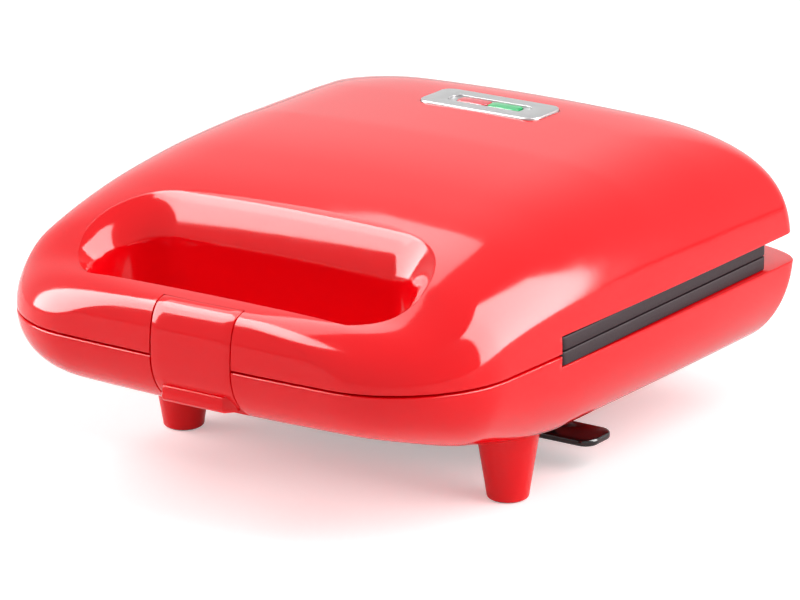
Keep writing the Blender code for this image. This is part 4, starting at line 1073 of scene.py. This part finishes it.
@dataclass(frozen=True)
class Foot:
    """A conical foot with its pad, sunk a little into the housing above it."""

    corner: str
    front_x: float = 0.0746
    front_y: float = FRONT + 0.0944
    rear_x: float = 0.030
    rear_y: float = REAR - 0.041
    edge: float = 0.0014
    profile: tuple[tuple[float, float], ...] = (
        (0.0078, 0.0), (0.0082, 0.003), (0.0095, 0.011), (0.0111, 0.021), (0.0122, 0.0290))
    bottom: float = 0.0003
    pad_radius: float = 0.0068
    pad_height: float = 0.0026
    pad_edge: float = 0.0004

    def build(self, paint: Paint) -> None:
        """Turns the foot's smooth profile and the pad's about the foot's axis.

        Args:
            paint: Maker of the materials.
        """
        end, side = self.corner.split("_")
        x, y = (self.front_x, self.front_y) if end == "front" else (self.rear_x, self.rear_y)
        x *= SIDES[side]
        knots = np.array(self.profile)
        level = np.linspace(self.bottom + self.edge, knots[-1, 1], 30)
        slope = np.polyfit(knots[:, 1], knots[:, 0], 3)
        wall = np.column_stack((np.polyval(slope, level), level))
        up, inwards = quarter(self.edge, 6)
        round_edge = np.column_stack((wall[0, 0] - inwards, self.bottom + up))[:-1]
        paint.skin(f"foot_{self.corner}_skin", turned_rows(np.vstack((round_edge, wall)), x, y), RED_ABS, Body.BASE,
                   f"foot_{self.corner}")
        r, h, e = self.pad_radius, self.pad_height, self.pad_edge
        pad = np.array(((r - e, 0.0), (r - 0.3 * e, 0.3 * e), (r, e), (r, h)))
        paint.skin(f"foot_pad_{self.corner}_skin", turned_rows(pad, x, y, 64), RUBBER, Body.BASE,
                   f"foot_pad_{self.corner}")


@dataclass(frozen=True)
class Plate:
    """A cast plate: a flat flange whose edge shows at the side, with four triangular pockets and their tub."""

    node: str
    skin: Skin
    body: Body
    width: float = 0.2135
    front: float = FRONT + 0.0812
    rear: float = REAR - 0.0302
    split_rise: float = 0.0013
    split: float = 0.0005
    corner: float = 0.002
    edge: float = 0.0004
    rim: float = 0.012
    ridge: float = 0.007
    depth: float = 0.0115
    wall_across: float = 0.0085
    blend: float = 0.0022
    tub_inset: float = 0.0083
    tub_wall: float = 0.0015
    tub_height: float = 0.0095
    cells_across: int = 150
    cells_along: int = 100

    def grid(self) -> tuple[Array, Array]:
        """Plan of the plate's grid, with each corner square turned into a quarter disc.

        In a corner square (a, b), x = a sqrt(1 - b^2/2) and y = b sqrt(1 - a^2/2).

        Returns:
            X and Y from the plate's middle, (along, across).
        """
        half_x, half_y = self.width / 2, (self.rear - self.front) / 2
        x, y = np.meshgrid(np.linspace(-half_x, half_x, self.cells_across + 1),
                           np.linspace(-half_y, half_y, self.cells_along + 1))
        a = np.maximum(np.abs(x) - half_x + self.corner, 0) / self.corner
        b = np.maximum(np.abs(y) - half_y + self.corner, 0) / self.corner
        x = x + np.sign(x) * self.corner * a * (np.sqrt(1 - b**2 / 2) - 1)
        y = y + np.sign(y) * self.corner * b * (np.sqrt(1 - a**2 / 2) - 1)
        return x, y

    def pocket_depth(self, x: Array, y: Array) -> Array:
        """Depth of the pockets: a smooth step of the distance inside a triangle whose sides are blended.

        Each cell is split by its diagonal. The distance inside is the soft minimum -k ln(sum exp(-d/k)) of the
        distances d to three sides, and the depth rises over wall_across.

        Args:
            x: X from the plate's middle.
            y: Y from the plate's middle.

        Returns:
            Depth at each point.
        """
        across = np.abs(x)
        inner, outer = self.ridge / 2, self.width / 2 - self.rim
        half = (self.rear - self.front) / 2 - self.rim
        size_x, size_y = outer - inner, 2 * half
        diagonal = math.hypot(size_x, size_y)
        slant = ((across - inner) * size_y - (y + half) * size_x) / diagonal
        depth = np.zeros_like(x)
        for side, edges in ((1, (outer - across, y + half)), (-1, (across - inner, half - y))):
            distances = np.stack((side * slant - self.ridge / 2, *edges))
            soft = -self.blend * np.log(np.exp(-distances / self.blend).sum(axis=0))
            depth = np.maximum(depth, self.depth * smooth_step(soft / self.wall_across))
        return depth

    def build(self, paint: Paint) -> None:
        """Makes the plate: face and back are height fields over one grid, joined by a rounded edge.

        Args:
            paint: Maker of the materials.
        """
        way = self.skin.way
        flange_back = self.skin.deck() - way * FIT
        x, y = self.grid()
        middle = (self.front + self.rear) / 2
        face = PARTING_Z + self.split_rise + way * self.split / 2
        half_x, half_y = self.width / 2, (self.rear - self.front) / 2
        inside = np.minimum(half_x - np.abs(x), half_y - np.abs(y))
        tub = self.tub_height * smooth_step((inside - self.tub_inset) / self.tub_wall)
        plan = x * (1 - self.edge / half_x), middle + y * (1 - self.edge / half_y)
        top = np.dstack((*plan, face + way * self.pocket_depth(x, y)))
        back = np.dstack((*plan, flange_back + way * tub))
        rows, columns = x.shape
        index = np.arange(rows * columns).reshape(rows, columns)
        quads = np.stack((index[:-1, :-1], index[:-1, 1:], index[1:, 1:], index[1:, :-1]), axis=-1).reshape(-1, 4)
        rim = np.concatenate((index[0, :-1], index[:-1, -1], index[-1, :0:-1], index[:0:-1, 0]))
        drop, short = quarter(self.edge, 5)
        edge_x, edge_y = x.ravel()[rim], y.ravel()[rim]
        loops = []
        ends = [(inwards, face + way * d) for inwards, d in zip(short[1:], drop[1:])]
        ends += [(inwards, flange_back - way * d) for inwards, d in zip(short[:0:-1], drop[:0:-1])]
        for inwards, level in ends:
            around = np.column_stack((edge_x * (1 - inwards / half_x), middle + edge_y * (1 - inwards / half_y)))
            loops.append(levelled([(around, level)])[0])
        size, around = rows * columns, len(rim)
        rings = [rim, *(2 * size + np.arange(around) + i * around for i in range(len(loops))), rim + size]
        faces = quads.tolist() + (quads + size).tolist()
        for one, two in zip(rings, rings[1:]):
            faces += np.column_stack((one, np.roll(one, -1), np.roll(two, -1), two)).tolist()
        points = np.concatenate((top.reshape(-1, 3), back.reshape(-1, 3), *loops))
        paint.add(settle(solid_of(self.node + "_casting", points, faces)), NON_STICK, self.body, self.node)


@dataclass(frozen=True)
class IndicatorPanel:
    """The silver panel on the lid, with a slot for its red and green lenses."""

    width: float = 0.054
    depth: float = 0.022
    corner: float = 0.005
    y: float = REAR - 0.0605
    sheet: float = 0.0022
    proud: float = 0.0006
    edge: float = 0.0006
    slot_width: float = 0.036
    slot_depth: float = 0.0085
    slot_corner: float = 0.0032
    gap: float = 0.00035
    lens_proud: float = -0.0001
    lens_height: float = 0.0030
    lens_edge: float = 0.0005
    lenses_width: float = 0.0290
    lenses_depth: float = 0.0074
    lens_corner: float = 0.0021
    hole_corner: float = 0.0024
    slot_edge_share: float = 0.3
    well: float = 0.0008
    way_down: float = 0.0045
    seat_over: float = 0.010
    way_lap: float = 0.001
    room_half_width: float = 0.024
    room_half_depth: float = 0.0105
    room_low: float = 0.085
    room_high: float = 0.1115

    def top(self) -> float:
        """Level of the panel's face."""
        return PARTING_Z + float(LID_SKIN.full(np.zeros(1), np.full(1, self.y))[0]) + self.proud

    def box(self, width: float, depth: float, corner: float, grow: float = 0.0) -> Array:
        """Outline of a rectangle with round corners about the panel's middle."""
        return rounded_box(width / 2, self.y - depth / 2, self.y + depth / 2, corner, corner, grow)

    def outline(self, grow: float) -> Array:
        """Outline of the panel."""
        return self.box(self.width, self.depth, self.corner, grow)

    def slot(self, grow: float) -> Array:
        """Outline of the slot."""
        return self.box(self.slot_width, self.slot_depth, self.slot_corner, grow)

    def lens_outline(self, way: int, grow: float) -> Array:
        """Outline of one lens: its half of the hole, less the gap."""
        wide, deep = self.lenses_width / 2 - 2 * self.gap, self.lenses_depth - 2 * self.gap
        return self.box(wide, deep, self.lens_corner, grow) + (way * (self.lenses_width / 4 - self.gap / 2), 0.0)

    def cutters(self) -> list[bpy.types.Object]:
        """The room for the lamps in the lid, the panel's seat, and the way between them.

        Returns:
            The cutters.
        """
        seat = self.top() - self.sheet - FIT
        wide, deep = self.room_half_width, self.room_half_depth
        return [
            box_cutter("lamp_room", (-wide, self.y - deep, self.room_low), (wide, self.y + deep, self.room_high)),
            prism_cutter("panel_seat", self.outline(FIT), seat, self.top() + self.seat_over),
            prism_cutter("lamp_way", self.slot(FIT), seat - self.way_down, seat + self.way_lap),
        ]

    def build(self, paint: Paint) -> None:
        """Makes the panel as a ring of loops, and both lenses.

        Args:
            paint: Maker of the materials.
        """
        across, down = quarter(self.edge, 4)
        top, low = self.top(), self.top() - self.sheet
        loops = [(self.outline(0.0), low)]
        loops += [(self.outline(-a), top - d) for a, d in zip(across, down)]
        small = self.slot_edge_share
        loops += [(self.slot(small * a), top - small * d) for a, d in zip(across[::-1], down[::-1])]
        hole = self.box(self.lenses_width, self.lenses_depth, self.hole_corner)
        loops += [(self.slot(0.0), top - self.well), (hole, top - self.well), (hole, low)]
        panel = skin_of("indicator_panel_face", levelled(loops), capped=False)
        paint.add(settle(panel, 50), SILVER, Body.LID, "indicator_panel")
        for side, way, finish in (("red", -1, RED_PC), ("green", 1, GREEN_PC)):
            level = top + self.lens_proud
            rows = slab_rows(lambda grow, way=way: self.lens_outline(way, grow), level - self.lens_height, level,
                             self.lens_edge)
            paint.skin(f"{side}_lens_face", rows, finish, Body.LID, f"{side}_lens", sharp_degrees=50)


@dataclass(frozen=True)
class CordHook:
    """A flat tongue on a post under the base, drawn along X from its root to its tip, with rounded edges."""

    side: str
    way: int
    y: float = FRONT + 0.1406
    tip: float = 0.0868
    root: float = 0.0525
    width: float = 0.018
    sheet: float = 0.003
    top: float = 0.0253 - FIT - 0.0117
    root_radius: float = 0.0016
    tip_radius: float = 0.0055
    edge: float = 0.0011
    post: float = 0.009
    post_height: float = 0.0137
    post_inset: float = 0.001
    post_radius: float = 0.0015
    post_edge: float = 0.0003

    def sideways(self, points: Array) -> Array:
        """An outline drawn along Y, turned to run along X on the hook's side."""
        return np.column_stack((self.way * points[:, 1], self.y + points[:, 0]))

    def tongue(self, grow: float) -> Array:
        """Outline of the tongue, with large corners at its tip and small ones at its root."""
        return self.sideways(rounded_box(self.width / 2, self.root, self.tip, self.root_radius, self.tip_radius,
                                         grow, steps=16))

    def stem(self, grow: float) -> Array:
        """Outline of the post."""
        return self.sideways(rounded_box(self.width / 2 - self.post_inset, self.root + self.post_inset,
                                         self.root + self.post, self.post_radius, self.post_radius, grow))

    def build(self, paint: Paint) -> None:
        """Makes the tongue and the post as two closed pieces that overlap.

        Args:
            paint: Maker of the materials.
        """
        node = f"cord_hook_{self.side}"
        rows = slab_rows(self.tongue, self.top - self.sheet, self.top, self.edge)
        paint.skin(node + "_tongue", rows, BLACK_PP, Body.BASE, node)
        rows = slab_rows(self.stem, self.top - self.sheet / 2, self.top + self.post_height, self.post_edge)
        paint.skin(node + "_post", rows, BLACK_PP, Body.BASE)


@dataclass(frozen=True)
class Hinges:
    """Room that both housings leave for the two hinges."""

    spread: float = 0.116
    y: float = REAR - 0.0068
    knuckle: float = 0.0048
    arm_width: float = 0.012
    ear_width: float = 0.004
    clearance: float = 0.0006
    arm_forward: float = 0.0095
    arm_slot_depth: float = 0.0087
    ear_slot_depth: float = 0.0077
    over: float = 0.002
    slot_height: float = 0.0062
    room_across: float = 0.0095
    room_rise: float = 0.0045
    room_margin: float = 0.0001

    def cutters(self, skin: Skin) -> list[bpy.types.Object]:
        """The slots in a housing's deck for the arms of the lid or for the ears of the base.

        Args:
            skin: The housing's skin.

        Returns:
            The cutters.
        """
        if skin.way > 0:
            reach, depth, forward = self.arm_width / 2 + self.clearance, self.arm_slot_depth, self.arm_forward
        else:
            reach = self.arm_width / 2 + self.ear_width + 2 * self.clearance
            depth, forward = self.ear_slot_depth, self.knuckle
        front = self.y - forward - self.clearance
        mouth, end = skin.deck() - skin.way * self.over, skin.deck() + skin.way * self.slot_height
        made = []
        for side, way in SIDES.items():
            x = way * self.spread / 2
            for name, start, half, margin in (
                    ("slot", mouth, reach, 0.0),
                    ("room", mouth + skin.way * self.room_rise, reach + self.room_across, self.room_margin)):
                low, high = sorted((start, end))
                made.append(box_cutter(f"hinge_{name}_{side}", (x - half, front - margin, low),
                                       (x + half, front + depth + margin, high)))
        return made


@dataclass(frozen=True)
class BowlFittings:
    """What the bowl has for its cover and for the cord's gland."""

    cover_half_width: float = 0.050
    cover_front: float = FRONT + 0.104
    cover_rear: float = REAR - 0.0595
    cover_corner: float = 0.008
    cover_sheet: float = 0.0012
    over: float = 0.005
    gland_z: float = PARTING_Z - 0.0288
    boss_radius: float = 0.010
    boss_front: float = REAR - 0.012
    boss_rear: float = REAR - 0.002
    edge: float = 0.0006

    def cutters(self) -> list[bpy.types.Object]:
        """The cover's seat in the bowl's underside.

        Returns:
            The cutter.
        """
        outline = rounded_box(self.cover_half_width, self.cover_front, self.cover_rear, self.cover_corner,
                              self.cover_corner, FIT)
        under = float(BOWL_SKIN.to_z(np.array(BOWL_SKIN.height)))
        return [prism_cutter("cover_seat", outline, under - self.over, under + self.cover_sheet + FIT)]

    def boss(self, paint: Paint) -> None:
        """The flat round boss at the rear that the gland sits in.

        Args:
            paint: Maker of the materials.
        """
        across, back = quarter(self.edge, 5)
        radius = np.concatenate(([self.boss_radius], self.boss_radius - across))
        level = np.concatenate(([self.boss_front], self.boss_rear - back))
        rows = turned_rows(np.column_stack((radius, level)), 0.0, self.gland_z)[..., (0, 2, 1)]
        paint.skin("gland_boss", rows, RED_ABS, Body.BASE)


@dataclass(frozen=True)
class PlateRoom:
    """Room behind the plate for its tub, heating element and heat shield."""

    front: float = FRONT + 0.0892
    rear: float = REAR - 0.0382
    tub_half_width: float = 0.0985
    tub_depth: float = 0.012
    shield_half_width: float = 0.0885
    shield_depth: float = 0.0225
    shield_inset: float = 0.008
    over: float = 0.002

    def cutters(self, skin: Skin) -> list[bpy.types.Object]:
        """A wide shallow box and a narrower deep one, from a little outside a housing's deck inwards.

        Args:
            skin: The housing's skin.

        Returns:
            The cutters.
        """
        made = []
        for name, half, inset, depth in (("tub_room", self.tub_half_width, 0.0, self.tub_depth),
                                         ("shield_room", self.shield_half_width, self.shield_inset,
                                          self.shield_depth)):
            low, high = sorted((skin.deck() - skin.way * self.over, skin.deck() + skin.way * depth))
            made.append(box_cutter(name, (-half, self.front + inset, low), (half, self.rear - inset, high)))
        return made


# ---- Studio ----


class Reach(Enum):
    """What a softbox's light acts on: mirror reflections, or the light that surfaces scatter."""

    REFLECTION = "reflection"
    SCATTER = "scatter"


def direction(azimuth: float, elevation: float) -> Vector:
    """Unit vector at an azimuth and an elevation in degrees: 0 is the front, and 90 the right."""
    turn, rise = math.radians(azimuth), math.radians(elevation)
    return Vector((math.sin(turn) * math.cos(rise), -math.cos(turn) * math.cos(rise), math.sin(rise)))


@dataclass(frozen=True)
class Softbox:
    """A rectangular lamp that points at the middle of the object, with its size as angles seen from there."""

    name: str
    reach: Reach
    azimuth: float
    elevation: float
    width_degrees: float
    height_degrees: float
    radiance: float
    roll_degrees: float = 0.0
    distance: float = 1.6
    target: tuple[float, float, float] = (0.0, 0.0, 0.06)

    def add(self) -> None:
        """Adds the lamp. Its power is its radiance times pi times its area."""
        lamp = bpy.data.lights.new(self.name, "AREA")
        lamp.shape = "RECTANGLE"
        lamp.size, lamp.size_y = (2 * self.distance * math.tan(math.radians(angle) / 2)
                                  for angle in (self.width_degrees, self.height_degrees))
        lamp.energy = self.radiance * math.pi * lamp.size * lamp.size_y
        back = direction(self.azimuth, self.elevation)
        obj = bpy.data.objects.new(self.name, lamp)
        obj.location = Vector(self.target) + back * self.distance
        obj.rotation_mode = "QUATERNION"
        obj.rotation_quaternion = Quaternion(back, math.radians(self.roll_degrees)) @ back.to_track_quat("Z", "Y")
        obj.visible_diffuse = self.reach is Reach.SCATTER
        obj.visible_glossy = self.reach is Reach.REFLECTION
        bpy.context.scene.collection.objects.link(obj)


@dataclass(frozen=True)
class Studio:
    """Floor, white surroundings, lamps and the photograph's camera."""

    lens: float = 225.0
    place_of_camera: tuple[float, float, float] = (1.028, -1.4879, 0.6223)
    azimuth: float = 34.542
    elevation: float = 17.425
    roll: float = -0.314
    sensor_width: float = 36.0
    clip: tuple[float, float] = (0.1, 20.0)
    ambient: float = 0.26
    backdrop: float = 1.0
    floor_size: float = 6.0
    floor_glow: float = 0.38

    def camera(self) -> None:
        """Adds the camera: its axes are the view turned by azimuth, lowered by elevation, then rolled."""
        turn, roll = math.radians(self.azimuth), math.radians(self.roll)
        ahead = -direction(self.azimuth, self.elevation)
        level = Vector((math.cos(turn), math.sin(turn), 0.0))
        up = level.cross(ahead)
        right = math.cos(roll) * level + math.sin(roll) * up
        top = -math.sin(roll) * level + math.cos(roll) * up
        data = bpy.data.cameras.new("camera")
        data.lens, data.sensor_width = self.lens, self.sensor_width
        data.clip_start, data.clip_end = self.clip
        obj = bpy.data.objects.new("camera", data)
        turned = Matrix((right, top, -ahead)).transposed().to_4x4()
        obj.matrix_world = Matrix.Translation(self.place_of_camera) @ turned
        bpy.context.scene.collection.objects.link(obj)
        bpy.context.scene.camera = obj

    def surroundings(self) -> None:
        """White for the camera, in reflections and behind clear pieces, and a plain level for the rest."""
        world = bpy.data.worlds.new("studio")
        bpy.context.scene.world = world
        tree = cleared_tree(world)
        white = any_ray(tree, "Is Camera Ray", "Is Transmission Ray", "Is Glossy Ray")
        level = add_node(tree, "ShaderNodeMapRange", {"Value": white, "To Min": self.ambient,
                                                      "To Max": self.backdrop})
        light = add_node(tree, "ShaderNodeBackground", {"Color": (1.0, 1.0, 1.0, 1.0),
                                                        "Strength": level.outputs["Result"]})
        add_node(tree, "ShaderNodeOutputWorld", {"Surface": light.outputs[0]})

    def floor(self) -> None:
        """A pale floor that keeps the object's shadow, and glows a little for the camera and in reflections."""
        half = self.floor_size / 2
        corners = [(-half, -half, 0.0), (half, -half, 0.0), (half, half, 0.0), (-half, half, 0.0)]
        mesh = bpy.data.meshes.new("floor")
        mesh.from_pydata(corners, [], [(0, 1, 2, 3)])
        obj = place("floor", mesh)
        material = bpy.data.materials.new("white_studio_floor")
        tree = cleared_tree(material)
        matt = add_node(tree, "ShaderNodeBsdfDiffuse", {"Color": linear("#F4F2F2")})
        level = add_node(tree, "ShaderNodeMapRange", {"Value": any_ray(tree, "Is Camera Ray"),
                                                      "To Min": self.floor_glow / 2, "To Max": self.floor_glow})
        glow = add_node(tree, "ShaderNodeEmission", {"Color": (1.0, 1.0, 1.0, 1.0),
                                                     "Strength": level.outputs["Result"]})
        both = add_node(tree, "ShaderNodeAddShader", {0: matt.outputs[0], 1: glow.outputs[0]})
        near = add_node(tree, "ShaderNodeMixShader", {0: any_ray(tree, "Is Camera Ray", "Is Glossy Ray"),
                                                      1: matt.outputs[0], 2: both.outputs[0]})
        add_node(tree, "ShaderNodeOutputMaterial", {"Surface": near.outputs[0]})
        mesh.materials.append(material)

    def lamps(self) -> None:
        """Two tall softboxes and a strip that only the gloss shows, and two fills for what surfaces scatter."""
        mirror, scatter = Reach.REFLECTION, Reach.SCATTER
        for box in (
            Softbox("softbox_left", mirror, -62, 34.5, 42, 64, 15.2),
            Softbox("softbox_right", mirror, 113.6, 29.3, 42, 76, 15.2, 9.8),
            Softbox("strip_upper_left", mirror, -95, 60, 60, 20, 4.2),
            Softbox("fill_left", scatter, -63, 38, 50, 50, 3.4),
            Softbox("fill_right", scatter, 104, 38, 46, 50, 4.2),
        ):
            box.add()

    def build(self) -> None:
        """Sets the stage up."""
        bpy.context.scene.view_settings.view_transform = "Standard"
        self.camera()
        self.surroundings()
        self.floor()
        self.lamps()


def main() -> None:
    """Builds every piece of the sandwich maker and the studio round it."""
    logging.basicConfig(level=logging.INFO, format="%(name)s: %(message)s")
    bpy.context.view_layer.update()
    paint = Paint()
    latch, panel, hinges, room, fittings = Latch(), IndicatorPanel(), Hinges(), PlateRoom(), BowlFittings()
    for node, skin, body, own in (("upper_housing", LID_SKIN, Body.LID, panel.cutters),
                                  ("lower_housing", BOWL_SKIN, Body.BASE, fittings.cutters)):
        cutters = latch.cutters() + room.cutters(skin) + hinges.cutters(skin) + own()
        Housing(node, skin, body).build(paint, cutters)
    fittings.boss(paint)
    latch.build(paint)
    for corner in CORNERS:
        Foot(corner).build(paint)
    Plate("upper_plate", LID_SKIN, Body.LID).build(paint)
    Plate("lower_plate", BOWL_SKIN, Body.BASE).build(paint)
    panel.build(paint)
    for side, way in SIDES.items():
        CordHook(side, way).build(paint)
    for finish, nodes in NODE_FINISHES.items():
        for node in nodes:
            paint.dress(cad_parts[node], finish)
    Studio().build()


if __name__ == "__main__":
    main()
